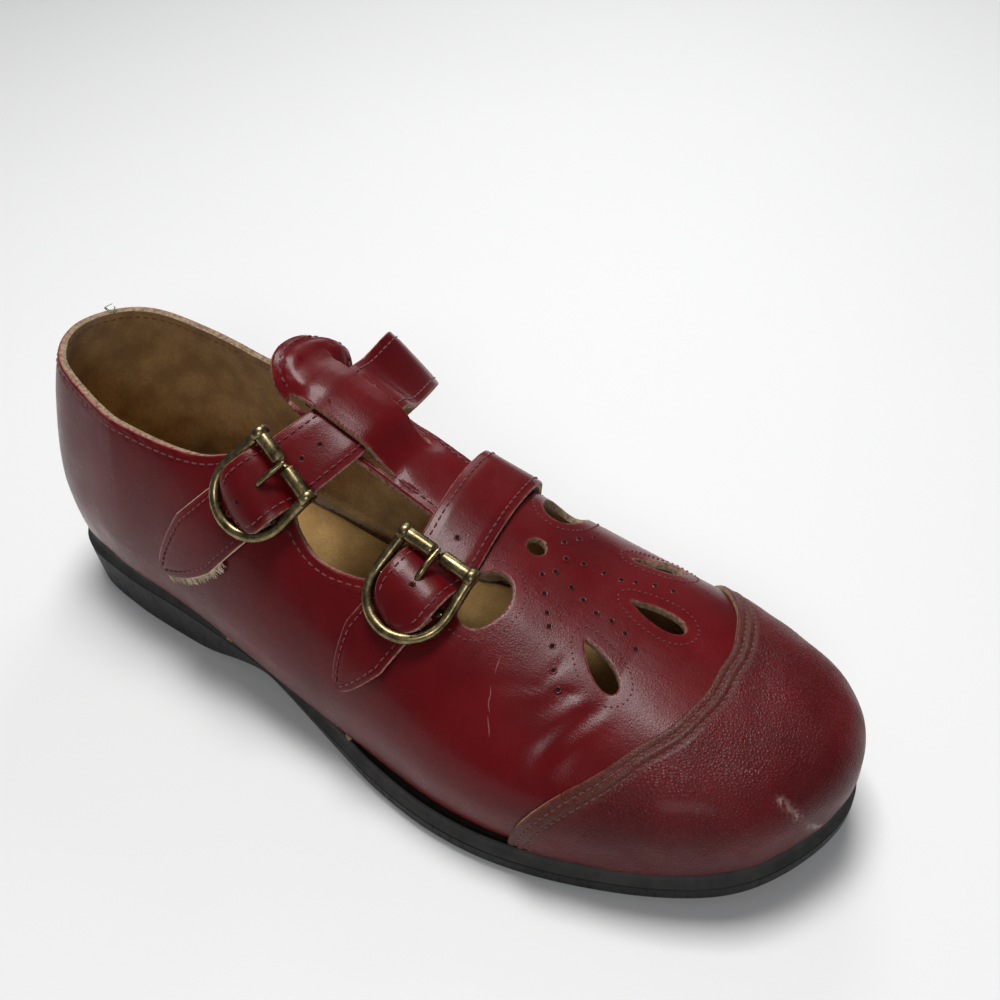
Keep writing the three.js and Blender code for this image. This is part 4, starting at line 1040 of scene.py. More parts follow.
def dimples(name, places, normals, radius, leather, raise_rim=0.09):
    """Punched dots: a floor painted near black as painted shade inside the hole, within a soft raised rim."""
    profile = [(0.0, 0.04), (0.85, 0.04), (1.0, raise_rim), (1.15, raise_rim * 0.9), (1.45, -0.12)]
    sides = 18
    angle = np.arange(sides) / sides * 2 * np.pi
    points, faces, kinds = [], [], []
    for n, (co, up) in enumerate(zip(places, normals)):
        up = unit(np.asarray(up, float))
        side = unit(np.cross(up, (0.3, 0.9, 0.1)))
        other = np.cross(up, side)
        base = n * sides * len(profile)
        for share, lift in profile:
            ring = np.cos(angle)[:, None] * side + np.sin(angle)[:, None] * other
            points.append(co + ring * max(share, 0.02) * radius + up * lift)
        for j in range(len(profile) - 1):
            for i in range(sides):
                k = (i + 1) % sides
                a, b, c, d = (base + r * sides + s for r, s in ((j, i), (j, k), (j + 1, k), (j + 1, i)))
                faces += [(a, c, b), (a, d, c)]
                kinds += [int(j > 0)] * 2
    points = np.concatenate(points)
    marks = {"edge": np.full(len(points), 0.55)}
    piece = make_object(name, points, np.array(faces), [HOLE_SHADE, leather], kinds, marks)
    return piece


def smoothed(line, closed, passes=4):
    line = resample(line, max(int(length_along(line[:, :3])[-1] / 0.9), 4))
    for _ in range(passes):
        mean = (np.roll(line, 1, 0) + np.roll(line, -1, 0)) / 2
        if not closed:
            mean[0], mean[-1] = line[0], line[-1]
        line = (line + mean) / 2
    return line


# Insole, upper and toe cap


def softness(points, size, depth, seed):
    """Soft unevenness of a hand's making, as heights in millimetres."""
    shift = Vector((seed, seed * 0.7, seed * 1.3))
    return depth * np.array([noise.noise(Vector(p) / size + shift) for p in points[:, :3]])


def pulled_in(points):
    """How far the leather is drawn in just above the sole."""
    above = points[:, 2] - edge_height(MIDDLE[0] - points[:, 1])
    return -PULL_IN * (1 - ease(above / PULL_IN_HEIGHT))


def on_the_bar(points):
    plan = plan_of(points)
    at = plan[:, 0] / LAST_LENGTH
    return (at > 0.28) & (at < 0.555) & (points[:, 2] > 50) & (polygon_distance(plan, BAR_OUTLINE) > 0.8)


def bar_seam(shape, normals, bridge):
    """The row of stitches around the T bar, laid on the sheet's nearest points."""
    tangent = np.roll(BAR_OUTLINE, -1, axis=0) - np.roll(BAR_OUTLINE, 1, axis=0)
    out = np.stack([tangent[:, 1], -tangent[:, 0]], 1) / np.linalg.norm(tangent, axis=1)[:, None]
    if polygon_distance(BAR_OUTLINE[80:81] + out[80:81], BAR_OUTLINE)[0] > 0:
        out = -out
    plan = resample(BAR_OUTLINE - out * STITCH_IN, 220)
    tree = KDTree(len(shape))
    for k, point in enumerate(shape):
        if point[2] > 50 and not bridge[k]:
            tree.insert((point[0], point[1], 0), k)
    tree.balance()
    places, ups = [], []
    for along, across in plan[plan[:, 0] < 0.552 * LAST_LENGTH]:
        x, y, _ = place(along, across, 0)
        if slit_field(np.array([[x, y, 60]]))[0] < 0.9:
            continue
        near = tree.find_n((x, y, 0), 4)
        weights = np.array([1 / (0.1 + gap) for _, _, gap in near])
        weights /= weights.sum()
        ids = [k for _, k, _ in near]
        places.append((x, y, weights @ shape[ids, 2]))
        ups.append(unit(weights @ normals[ids]))
    return np.array(places), np.array(ups)


def build_upper():
    (points, faces), column = upper_sheet()
    distance = points[:, column]
    normals = vertex_normals(points, faces)
    plan = plan_of(points)
    at = plan[:, 0] / LAST_LENGTH
    by_hole = np.zeros(len(points), bool)
    front = (at > 0.58) & (points[:, 2] > 25)
    by_hole[front] = np.max([polygon_distance(plan[front], hole) for hole in HOLES], axis=0) > -6.5
    relief = bar_relief(points, distance) + crease_relief(points) + softness(points, 17.0, 0.2, 3.1)
    relief += pulled_in(points)
    on_bar = on_the_bar(points)
    near_slit = on_bar & (slit_field(points) < polygon_distance(plan, BAR_OUTLINE))
    relief -= np.where(by_hole | near_slit, 0, 0.2) * np.exp(-(((distance - STITCH_IN) / 0.55) ** 2))
    shape = points[:, :3] + normals * relief[:, None]
    plain = normals
    normals = vertex_normals(shape, faces)
    inward = np.where((relief > 0.9)[:, None] | on_bar[:, None], plain, normals)
    bridge = (bridge_off(plan) < SLIT_AT) & (at > SLITS[0] - 0.01) & (at < SLITS[1] + 0.01)
    bridge &= points[:, 2] > 50
    collar = (at < 0.37) & (points[:, 2] > 60) & (np.abs(plan[:, 1] - ridge_across(at)) > 14)
    wall = np.where(bridge, WALL - 0.3, WALL) + np.where(collar, 0.25 * (1 - ease((distance - 6.8) / 0.5)), 0)
    rounding = round_depth(distance, np.where(by_hole | near_slit, EDGE_ROUND / 2, EDGE_ROUND))
    whole, triangles, kinds = thicken(shape, faces, rounding, wall, normals, inward)
    spread = np.concatenate([distance, distance, np.zeros(len(whole) - 2 * len(distance))])
    materials = [LEATHER, RAW_EDGE, LINING]
    upper = make_object("upper_leather", whole, triangles, materials, kinds, {"edge": spread})
    sharpen(upper, 50)
    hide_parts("upper")

    rows = np.concatenate([shape, distance[:, None], normals, plan, wall[:, None]], 1)
    seams, dots, lining = [], [], []
    for line in level_lines(rows, faces, 3, STITCH_IN):
        if length_along(line[:, :3])[-1] < 25:
            continue
        closed = np.linalg.norm(line[0, :3] - line[-1, :3]) < 3
        line = smoothed(line, closed)
        near_hole = any(polygon_distance(line[:, 7:9], hole).max() > -6 and len(line) < 90 for hole in HOLES)
        if not near_hole:
            off_bar = ~on_the_bar(line[:, :3])
            for run in np.split(np.arange(len(line)), np.nonzero(np.diff(off_bar.astype(int)))[0] + 1):
                if off_bar[run[0]] and len(run) > 4:
                    seams.append((line[run, :3], line[run, 4:7]))
            at_collar = line[:, 7] < 0.3 * LAST_LENGTH
            if at_collar.sum() > 20:
                inside = line[at_collar]
                lining.append((inside[:, :3] - inside[:, 4:7] * (inside[:, 9:10] + 0.02), -inside[:, 4:7]))
    for line in level_lines(rows, faces, 3, DOTS_IN):
        size = length_along(line[:, :3])[-1]
        middle = line[:, 7:9].mean(0)
        near = [hole for hole in HOLES[1:] if np.linalg.norm(hole.mean(0) - middle) < 5]
        if near and 25 < size < 110:
            line = smoothed(line, True)
            dots.append((line[:, :3], line[:, 4:7]))
    seams.append(bar_seam(shape, normals, bridge))
    stitches("upper_stitches", seams, THREAD, pitch=2.5, length=1.85, radius=0.24)
    stitches("opening_dots", dots, THREAD, pitch=1.5, length=0.7, radius=0.24)
    runs = []
    for line, up in lining:
        jump = np.nonzero(np.linalg.norm(np.diff(line, axis=0), axis=1) > 4)[0] + 1
        parts = zip(np.split(line, jump), np.split(up, jump))
        runs += [part for part in parts if len(part[0]) > 6]
    stitches("lining_stitches", runs, LINING_THREAD, pitch=2.5, length=1.8, radius=0.2)


# Scuffs on the toe: from and to as at, across share and height, then half width
SCUFFS = [
    ((0.956, -0.19, 33.5), (0.972, -0.175, 29.6), 0.9),
    ((0.968, -0.18, 30.6), (0.984, -0.13, 23.0), 0.75),
    ((0.972, -0.165, 28.6), (0.988, -0.105, 20.6), 0.6),
]


def share_spot(at, across, height):
    """A spot given by shares of the length and the ball width, and a height."""
    return np.array(place(at * LAST_LENGTH, across * BALL_WIDTH, height))


def cap_field(points):
    plan = plan_of(points)
    across = plan[:, 1] / BALL_WIDTH
    edge = (CAP_EDGE_AT - CAP_EDGE_BEND * (across - CAP_EDGE_ACROSS) ** 2) * LAST_LENGTH
    wave = 0.3 * np.sin(plan[:, 1] / 4.6 + 1) + 0.2 * np.sin(plan[:, 1] / 2.3)
    return plan[:, 0] - edge - CAP_EDGE_LEAN * (points[:, 2] - CAP_EDGE_HEIGHT) + wave


def build_cap():
    points, faces = surface_grid()
    levels = (0.35, 1.2, 1.7, 2.2, 2.7, 3.4, 4.1, 4.6, 5.1, 5.9)
    (points, faces), column = trimmed(points, faces, cap_field(points), levels)
    distance = points[:, column]
    normals = vertex_normals(points, faces)
    lift = GAP + CAP_THICKNESS + softness(points, 9.0, 0.3, 8.4) * ease(distance / 6)
    for row in CAP_STITCH_ROWS:
        lift -= 0.28 * np.exp(-(((distance - row) / 0.5) ** 2))
    lift += 0.2 * np.exp(-(((distance - 3.4) / 0.6) ** 2))
    lift += pulled_in(points)
    shape = points[:, :3] + normals * lift[:, None]
    normals = vertex_normals(shape, faces)
    thickness = np.maximum(lift - GAP * 0.4, 0.5)
    whole, triangles, kinds = thicken(shape, faces, round_depth(distance, 0.35), thickness, normals)
    scuff = np.zeros(len(points))
    for start, end, width in SCUFFS:
        a, b = share_spot(*start), share_spot(*end)
        t = np.clip(((points[:, :3] - a) @ (b - a)) / ((b - a) @ (b - a)), 0, 1)
        off = np.linalg.norm(points[:, :3] - a - t[:, None] * (b - a), axis=1)
        scuff = np.maximum(scuff, np.exp(-((off / width) ** 2)))
    spare = np.zeros(len(whole) - 2 * len(distance))
    marks = {"edge": distance, "scuff": scuff}
    marks = {key: np.concatenate([values, values, spare]) for key, values in marks.items()}
    materials = [CAP_LEATHER, RAW_EDGE, CAP_LEATHER]
    cap = make_object("toe_cap_leather", whole, triangles, materials, kinds, marks)
    sharpen(cap, 50)
    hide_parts("toe_cap")
    rows = np.concatenate([shape, distance[:, None], normals], 1)
    seams = []
    for row in CAP_STITCH_ROWS:
        line = smoothed(level_lines(rows, faces, 3, row)[0], False, 2)
        seams.append((line[:, :3], line[:, 4:7]))
    stitches("toe_cap_stitches", seams, THREAD, pitch=2.1, length=1.6, radius=0.24)


def lid(ring, steps, height=None):
    """Fills a ring whose points i and count - i face each other, with steps columns across."""
    count = len(ring)
    half = count // 2
    a, b = ring[: half + 1], ring[(-np.arange(half + 1)) % count]
    share = np.linspace(0, 1, steps + 1)[None, :, None]
    grid = a[:, None] * (1 - share) + b[:, None] * share
    if height is not None:
        grid[..., 2] += height(grid, share[..., 0])
    i, j = np.meshgrid(np.arange(half), np.arange(steps), indexing="ij")
    w = steps + 1
    quads = np.stack([i * w + j, (i + 1) * w + j, (i + 1) * w + j + 1, i * w + j + 1], -1).reshape(-1, 4)
    return grid.reshape(-1, 3), np.concatenate([quads[:, :3], quads[:, [0, 2, 3]]])


def joined(rings):
    """Closed rings of points joined one to the next. The third value is each triangle's row."""
    a, b, c, d = quad_corners(len(rings), len(rings[0]))
    faces = np.concatenate([np.stack([a, d, c], 1), np.stack([a, c, b], 1)])
    return np.concatenate(rings), faces, faces[:, 0] // len(rings[0])


def outward(points, faces):
    """Turns the triangles so that the closed mesh holds a positive volume."""
    a, b, c = (points[faces[:, k]] for k in range(3))
    volume = np.einsum("ij,ij->i", a, np.cross(b, c)).sum()
    return faces if volume > 0 else faces[:, ::-1]


def build_insole():
    lines, _ = ring_lines()

    def ring(inset, lift):
        out = lines.reach - WALL + 1.5 - inset
        along = lines.pole[:, 0] + lines.way[:, 0] * out
        return place(along, lines.pole[:, 1] + lines.way[:, 1] * out, lines.edge + lift)

    full = INSOLE_THICKNESS
    rings = [ring(0, -0.8), ring(0, full * 0.55), ring(0.25, full * 0.85), ring(0.8, full), ring(5, full)]
    points, faces, _ = joined(rings)

    def dish(grid, share):
        return -1.1 * np.sin(np.pi * share) ** 2 * np.ones(len(grid))[:, None]

    top, top_faces = lid(rings[-1], 26, dish)
    low, low_faces = lid(rings[0], 4)
    everything = np.concatenate([points, top, low])
    sheets = [faces, top_faces + len(points), low_faces[:, ::-1] + len(points) + len(top)]
    everything, triangles = weld(everything, np.concatenate(sheets), 2e-3)
    insole = make_object("insole_leather", everything, outward(everything, triangles), [INSOLE])
    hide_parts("insole")


def build_sole():
    def top(along):
        return edge_height(along) - GAP

    def bottom(along):
        at = along / LAST_LENGTH
        return SHANK_HEIGHT * np.maximum(read(SOLE_ARCH, at, 1), 0) + spring_at(at)

    def wall_from(along):
        return top(along) - BEVEL_HEIGHT - WELT_GROOVE

    def taper(along, share):
        depth = np.maximum(wall_from(along) - bottom(along) - SOLE_EDGE_RADIUS, 0)
        return HEEL_TAPER * depth / HEEL_SEAT_HEIGHT * share

    def ring(inset, height):
        loop = offset_loop(LOOP, lambda at, side: sole_edge(at, side) - inset)
        return place(loop[:, 0], loop[:, 1], height)

    along = LOOP[:, 0]
    high, low = top(along), bottom(along)
    rims = [(BEVEL_WIDTH + 7, 0.9), (BEVEL_WIDTH + 0.9, 0.9), (BEVEL_WIDTH + 0.6, 0.5)]
    rims += [(BEVEL_WIDTH + 0.35, 0.1), (BEVEL_WIDTH, 0.08), (BEVEL_WIDTH * 0.8, 0.45)]
    rings = [ring(inset, high - drop) for inset, drop in rims]
    band_start = 4
    for share in (0.35, 0.55, 0.75, 0.9):
        inset = BEVEL_WIDTH * (1 - share) + 0.25 * math.sin(math.pi * share)
        rings.append(ring(inset, high - BEVEL_HEIGHT * share))
    rings.append(ring(0.06, high - BEVEL_HEIGHT))
    band_end = len(rings) - 1
    for inset, drop in ((0.4, 0.2), (0.45, 0.45), (0.1, WELT_GROOVE)):
        rings.append(ring(inset, high - BEVEL_HEIGHT - drop))
    for share in (0.25, 0.5, 0.75, 1.0):
        level = wall_from(along) * (1 - share) + (low + SOLE_EDGE_RADIUS) * share
        rings.append(ring(taper(along, share), level))
    for turn in (30, 60, 90):
        angle = math.radians(turn)
        inset = taper(along, 1) + SOLE_EDGE_RADIUS * (1 - math.cos(angle))
        rings.append(ring(inset, low + SOLE_EDGE_RADIUS * (1 - math.sin(angle))))
    rings.append(ring(taper(along, 1) + SOLE_EDGE_RADIUS + 3.5, low))
    points, faces, row = joined(rings)
    # The bevel band's rows take the lighter rubber, painted light for their upward-facing slope.
    kinds = ((row >= band_start) & (row < band_end)).astype(int)

    def tread(grid, share):
        run = MIDDLE[0] - grid[..., 1]
        inside = np.minimum(share, 1 - share) > 0.03
        zone = ((run > 134) & (run < 236)) | ((run > 12) & (run < 50))
        groove = np.sin(run / 5.2 * 2 * np.pi + 0.5 * np.sin(share * 6 * np.pi)) > 0.2
        return 0.9 * (groove & inside & zone)

    upper_lid, upper_faces = lid(rings[0], 6)
    lower_lid, lower_faces = lid(rings[-1], 40, tread)
    everything = np.concatenate([points, upper_lid, lower_lid])
    sheets = [faces, upper_faces[:, ::-1] + len(points), lower_faces + len(points) + len(upper_lid)]
    kinds = np.concatenate([kinds, np.zeros(len(upper_faces) + len(lower_faces), int)])
    triangles = np.concatenate(sheets)
    triangles = outward(everything, triangles)
    sole = make_object("sole_rubber", everything, triangles, [RUBBER, RUBBER_BAND_PAINTED_LIGHT], kinds)
    sharpen(sole, 40)
    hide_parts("sole")


# Straps, tabs and buckles


def sheet_tree():
    points, faces = surface_grid()
    points = points[:, :3]
    normals = vertex_normals(points, faces)
    tree = KDTree(len(points))
    for k, point in enumerate(points):
        tree.insert(point, k)
    tree.balance()
    return points, normals, tree


SHEET_POINTS, SHEET_NORMALS, SHEET_TREE = sheet_tree()


def settled(places, lift):
    """Moves places out until each lies its lift above the last."""
    flat, lift = places.reshape(-1, 3).copy(), np.broadcast_to(lift, places.shape[:-1]).reshape(-1)
    for k, point in enumerate(flat):
        _, near, _ = SHEET_TREE.find(point)
        up = SHEET_NORMALS[near]
        flat[k] = point + up * (lift[k] - (point - SHEET_POINTS[near]) @ up)
    return flat.reshape(places.shape)


class Ribbon:
    """A leather strip laid over the last. Stops are along, girth and lift."""

    def __init__(
        self, stops, thickness, half, pitch=1.0, round_end=0.0, puff=0.25, settle=False, twist=(0, 1, 0)
    ):
        self.curve = catmull(stops, 500)
        self.twist = twist
        self.settle = settle
        self.run = length_along(self.curve)
        self.length = self.run[-1]
        self.thickness, self.half, self.puff = thickness, half, puff
        body = np.arange(0, self.length - round_end, pitch)
        turn = np.sin(np.linspace(0, np.pi / 2, 16)) if round_end else np.array([1.0])
        tail = self.length - round_end + round_end * turn
        self.s = np.concatenate([body, tail if round_end else [self.length]])

    def centre(self, s):
        return np.stack([np.interp(s, self.run, self.curve[:, k]) for k in range(3)], -1)

    def at(self, s, x, above=0.0):
        """A point s along and x across, above the underside by a distance."""
        s, x, above = np.broadcast_arrays(np.asarray(s, float), x, above)
        centre = self.centre(s)
        ahead = self.centre(np.clip(s + 0.8, 0, self.length))
        behind = self.centre(np.clip(s - 0.8, 0, self.length))
        size = np.hypot(ahead[..., 0] - behind[..., 0], ahead[..., 1] - behind[..., 1])
        along = centre[..., 0] + (ahead[..., 1] - behind[..., 1]) / size * x
        girth = centre[..., 1] - (ahead[..., 0] - behind[..., 0]) / size * x
        middle, spread, slope = self.twist
        lift = centre[..., 2] + above - x * slope * np.exp(-(((s - middle) / spread) ** 2))
        places = raised(along, girth, lift)
        return settled(places, lift) if self.settle else places

    def build(self, name, materials, replaces, edge_round=0.5):
        widths = np.array([self.half(s / self.length, self.length) for s in self.s])
        t = self.thickness
        sides = [(0.0, 0.3 * t), (0.0, t - edge_round), (0.12, t - 0.4 * edge_round), (0.5, t - 0.06)]
        inner = np.linspace(0.08, 0.92, 13)
        section = [(inset, above, -1) for inset, above in sides] + [(share, t, 0) for share in inner]
        section += [(inset, above, 1) for inset, above in sides[::-1]] + [(0.25, 0.0, 1)]
        section += [(share, 0.0, 0) for share in inner[::-1]] + [(0.25, 0.0, -1)]
        lines, kinds_row, wear = [], [], []
        for value, above, sign in section:
            if sign:
                x = sign * np.maximum(widths - np.minimum(value, widths * 0.4), 0.01)
            else:
                x = (2 * value - 1) * widths * 0.94
            lift = np.full(len(self.s), above)
            if above >= t - 0.07:
                edge = widths - np.abs(x)
                groove = 0.16 * np.exp(-(((edge - STRAP_STITCH_IN) / 0.7) ** 2))
                lift = lift + self.puff * ease(edge / 3) - groove
            lines.append(self.at(self.s, x, lift))
            kinds_row.append(0 if above >= t - edge_round + 0.01 else (2 if above == 0 else 1))
            wear.append(np.clip(widths - np.abs(x), 0, 9) if above > 0.1 else np.full(len(self.s), 5.0))
        points, faces, _ = joined(list(np.stack(lines, 1)))
        count = len(section)
        here, beside = np.array(kinds_row), np.roll(kinds_row, -1)
        kinds = np.where((here == 1) | (beside == 1), np.maximum(here, beside), here)[faces[:, 0] % count]
        ends = []
        for row, flip in ((0, False), (len(self.s) - 1, True)):
            loop = row * count + np.arange(count)
            ends.append(points[loop].mean(0))
            centre = np.full(count, len(points) + len(ends) - 1)
            cap = np.stack([loop, np.roll(loop, -1), centre], 1)
            faces = np.concatenate([faces, cap[:, ::-1] if flip else cap])
            kinds = np.concatenate([kinds, np.ones(count, int)])
        points = np.concatenate([points, ends])
        edge = np.concatenate([np.stack(wear, 1).reshape(-1), np.zeros(len(ends))])
        piece = make_object(name, points, outward(points, faces), materials, kinds, {"edge": edge})
        sharpen(piece, 55)
        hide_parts(replaces)
        return piece

    def edge_lines(self, start, end, inset=None):
        """Both rows of stitches, in from the edges."""
        inset = STRAP_STITCH_IN if inset is None else inset
        s = np.arange(start, min(end, self.length - inset) + 0.01, 0.8)
        lines = []
        for sign in (-1, 1):
            x = sign * np.array([max(self.half(v / self.length, self.length) - inset, 0.3) for v in s])
            lines.append(self.seam(s, x))
        return lines

    def seam(self, s, x):
        place_at = self.at(s, x, self.thickness + self.puff * 0.7)
        above = self.at(s, x, self.thickness + 1.5)
        return place_at, unit(above - place_at)

    def nearest(self, along, girth):
        gap = np.hypot(self.curve[:, 0] - along, self.curve[:, 1] - girth)
        return self.run[gap.argmin()]


def pattern_spot(buckle, distance, turn=None):
    at, girth, own_turn = buckle
    heading = math.radians(own_turn if turn is None else turn)
    return at * LAST_LENGTH - distance * math.sin(heading), girth * BALL_WIDTH - distance * math.cos(heading)


CENTRE_BAR_HEIGHT = GAP + LOOP_THICKNESS + GAP + CENTRE_BAR_WIDTH / 2
LOOP_TOP = 2 * CENTRE_BAR_HEIGHT - GAP
STRAIGHT_BAR_HEIGHT = CENTRE_BAR_HEIGHT + 1.9
CURVE_HEIGHT = CENTRE_BAR_HEIGHT + GAP


class BuckleFrame:
    def __init__(self, buckle):
        here = pattern_spot(buckle, 0)
        following = pattern_spot(buckle, 3)
        self.origin = spot(*here)
        self.normal = normal(*here)
        down = spot(*following) - self.origin
        self.down = unit(down - self.normal * (down @ self.normal))
        self.across = np.cross(self.normal, self.down)

    def at(self, across, down, height):
        across, down, height = np.broadcast_arrays(np.asarray(across, float), down, height)
        side = across[..., None] * self.across + down[..., None] * self.down
        return self.origin + side + height[..., None] * self.normal


def tube(path, radius, sides=16):
    path = np.asarray(path, float)
    count = len(path)
    radii = np.broadcast_to(np.asarray(radius, float), (count,))
    way = unit(np.gradient(path, axis=0))
    side = np.zeros_like(path)
    side[0] = unit(np.cross(way[0], (0.31, 0.17, 0.93)))
    for k in range(1, count):
        carried = side[k - 1] - way[k] * (side[k - 1] @ way[k])
        side[k] = unit(carried)
    other = np.cross(way, side)
    angle = np.arange(sides) / sides * 2 * np.pi
    rings = path[:, None] + radii[:, None, None] * (
        np.cos(angle)[None, :, None] * side[:, None] + np.sin(angle)[None, :, None] * other[:, None]
    )
    points, faces, _ = joined(list(rings))
    n = len(points)
    index = np.arange(sides)
    ahead = (index + 1) % sides
    last = (count - 1) * sides
    points = np.concatenate([points, path[:1], path[-1:]])
    faces = np.concatenate([
        faces, np.stack([index, ahead, np.full(sides, n)], 1),
        np.stack([last + ahead, last + index, np.full(sides, n + 1)], 1),
    ])
    return points, outward(points, faces)


def merged(parts):
    points, faces, base = [], [], 0
    for p, f in parts:
        points.append(p)
        faces.append(f + base)
        base += len(p)
    return np.concatenate(points), np.concatenate(faces)


def build_buckle(which, buckle):
    own = BuckleFrame(buckle)
    half, bar_half = BUCKLE_WIDTH / 2, BAR_LENGTH / 2
    arm = bar_half - BUCKLE_WIRE / 2
    spots = [(-arm, -BAR_SPACING, STRAIGHT_BAR_HEIGHT)]
    middle_height = (STRAIGHT_BAR_HEIGHT + CURVE_HEIGHT) / 2
    spots.append((-(arm + half) / 2, -BAR_SPACING * 0.5, middle_height))
    for turn in np.linspace(0, np.pi, 9):
        spots.append((-half * math.cos(turn), half * math.sin(turn), CURVE_HEIGHT))
    spots.append(((arm + half) / 2, -BAR_SPACING * 0.5, middle_height))
    spots.append((arm, -BAR_SPACING, STRAIGHT_BAR_HEIGHT))
    ring = tube(own.at(*catmull(spots, 90).T), BUCKLE_WIRE / 2 * 1.2, 18)
    centre = np.linspace(-half + 0.3, half - 0.3, 8)
    centre_bar = tube(own.at(centre, 0, CENTRE_BAR_HEIGHT), CENTRE_BAR_WIDTH / 2, 14)
    fat, thin = BAR_WIDTH / 2, BAR_WIDTH / 2 - 1
    profile = [(-bar_half, 0.25), (-bar_half + 0.05, fat * 0.72), (-bar_half + 0.45, fat * 0.93)]
    profile += [(-bar_half + 1.1, fat), (-2.0, fat), (-1.5, fat * 0.95), (-1.1, thin * 1.15)]
    profile += [(-0.8, thin), (0.0, thin)]
    profile += [(-x, r) for x, r in profile[-2::-1]]
    stations = np.array([x for x, _ in profile])
    bar = tube(own.at(stations, -BAR_SPACING, STRAIGHT_BAR_HEIGHT), [r for _, r in profile], 24)
    lugs = []
    for sign in (-1, 1):
        across = sign * (arm + np.array([-1.3, -1.2, -0.8, 0.0, 0.8, 1.2, 1.3]))
        radii = (fat + 0.5) * np.array([0.7, 0.86, 0.98, 1, 0.98, 0.86, 0.7])
        lugs.append(tube(own.at(across, -BAR_SPACING, STRAIGHT_BAR_HEIGHT), radii, 20))
    points, faces = merged([ring, centre_bar, bar, *lugs])
    piece = make_object(f"buckle_{which}_brass", points, faces, [BRASS])
    sharpen(piece, 60)
    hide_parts(f"buckle_{which}")

    rest = CENTRE_BAR_HEIGHT + CENTRE_BAR_WIDTH / 2 + GAP + PRONG_WIDTH / 2
    tip = STRAIGHT_BAR_HEIGHT + thin + GAP * 0.4 + PRONG_WIDTH / 2
    crown = LOOP_TOP + GAP + STRAP_THICKNESS + PRONG_WIDTH / 2
    path = [(0, 0.6, rest), (0, -BAR_SPACING * 0.2, rest + 0.2), (0, -BAR_SPACING * 0.4, crown - 1.2)]
    path += [(0, -BAR_SPACING * 0.65, (crown + tip) / 2), (0, -BAR_SPACING, tip)]
    path += [(0, -BAR_SPACING - 1.6, tip - 0.1)]
    run = catmull(path, 40)
    radii = PRONG_WIDTH / 2 * np.interp(np.linspace(0, 1, 40), [0, 0.7, 0.93, 1], [1, 1, 0.82, 0.35])
    points, faces = tube(own.at(*run.T), radii, 12)
    prong = make_object(f"prong_{which}_brass", points, faces, [BRASS])
    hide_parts(f"prong_{which}")
    return own


def build_fray(ribbon):
    """Loose fibres along the worn lower edge of the rear tab."""
    rng = random.Random(3)
    parts = []
    for _ in range(260):
        share = rng.uniform(0.42, 0.995)
        s = share * ribbon.length
        x = -ribbon.half(share, ribbon.length)
        heights = [rng.uniform(0.3, 1.3) for _ in range(3)]
        reach = rng.uniform(0.8, 2.9)
        drift = rng.uniform(-1.2, 1.2)
        spots = [
            ribbon.at(s + drift * t, x - reach * t + 0.9, h * (1 - 0.5 * t))
            for t, h in zip((0, 0.5, 1), heights)
        ]
        parts.append(tube(catmull(spots, 7), rng.uniform(0.07, 0.15), 5))
    points, faces = merged(parts)
    make_object("buckle_tab_rear_fray", points, faces, [FRAYED])


def build_tab(which, buckle, tab, own):
    length, turn = tab
    stops = []
    for distance in (-1, 6, 14, length * 0.7, length):
        along, girth = pattern_spot(buckle, distance, turn)
        stops.append((along, girth, GAP + 0.1))

    def half(share, _):
        return TAB_WIDTH / 2 * min(1, 0.06 + max(0, (1 - share) * 2) ** 0.62)

    ribbon = Ribbon(stops, TAB_THICKNESS, half, pitch=0.8, puff=0.15, settle=which == "rear")
    materials = [STRAP_LEATHER, FRAYED if which == "rear" else STRAP_EDGE, RAW_EDGE]
    ribbon.build(f"buckle_tab_{which}_leather", materials, f"buckle_tab_{which}", 0.35)
    rows = ribbon.edge_lines(4, ribbon.length * 0.96, 1.7)
    across = np.linspace(-TAB_WIDTH / 2 + 2, TAB_WIDTH / 2 - 2, 14)
    rows.append(ribbon.seam(np.full(14, 9.0), across))
    stitches(f"buckle_tab_{which}_stitches", rows, THREAD, pitch=2.2, length=1.6, radius=0.2)
    if which == "rear":
        build_fray(ribbon)
    radius = CENTRE_BAR_HEIGHT - GAP
    for sign in (-1, 1):
        start, end = sign * (PRONG_WIDTH / 2 + 1), sign * TAB_WIDTH / 2
        stations = [start, start + sign * 0.2, start + sign * 0.6, end - sign * 0.5, end - sign * 0.1, end]
        radii = radius * np.array([0.75, 0.9, 1, 1, 0.92, 0.75])
        points, faces = tube(own.at(stations, 0, CENTRE_BAR_HEIGHT), radii, 24)
        marks = {"edge": np.full(len(points), 3.0)}
        side = "a" if sign < 0 else "b"
        loop = make_object(f"buckle_loop_{which}_{side}", points, faces, [STRAP_LEATHER], None, marks)


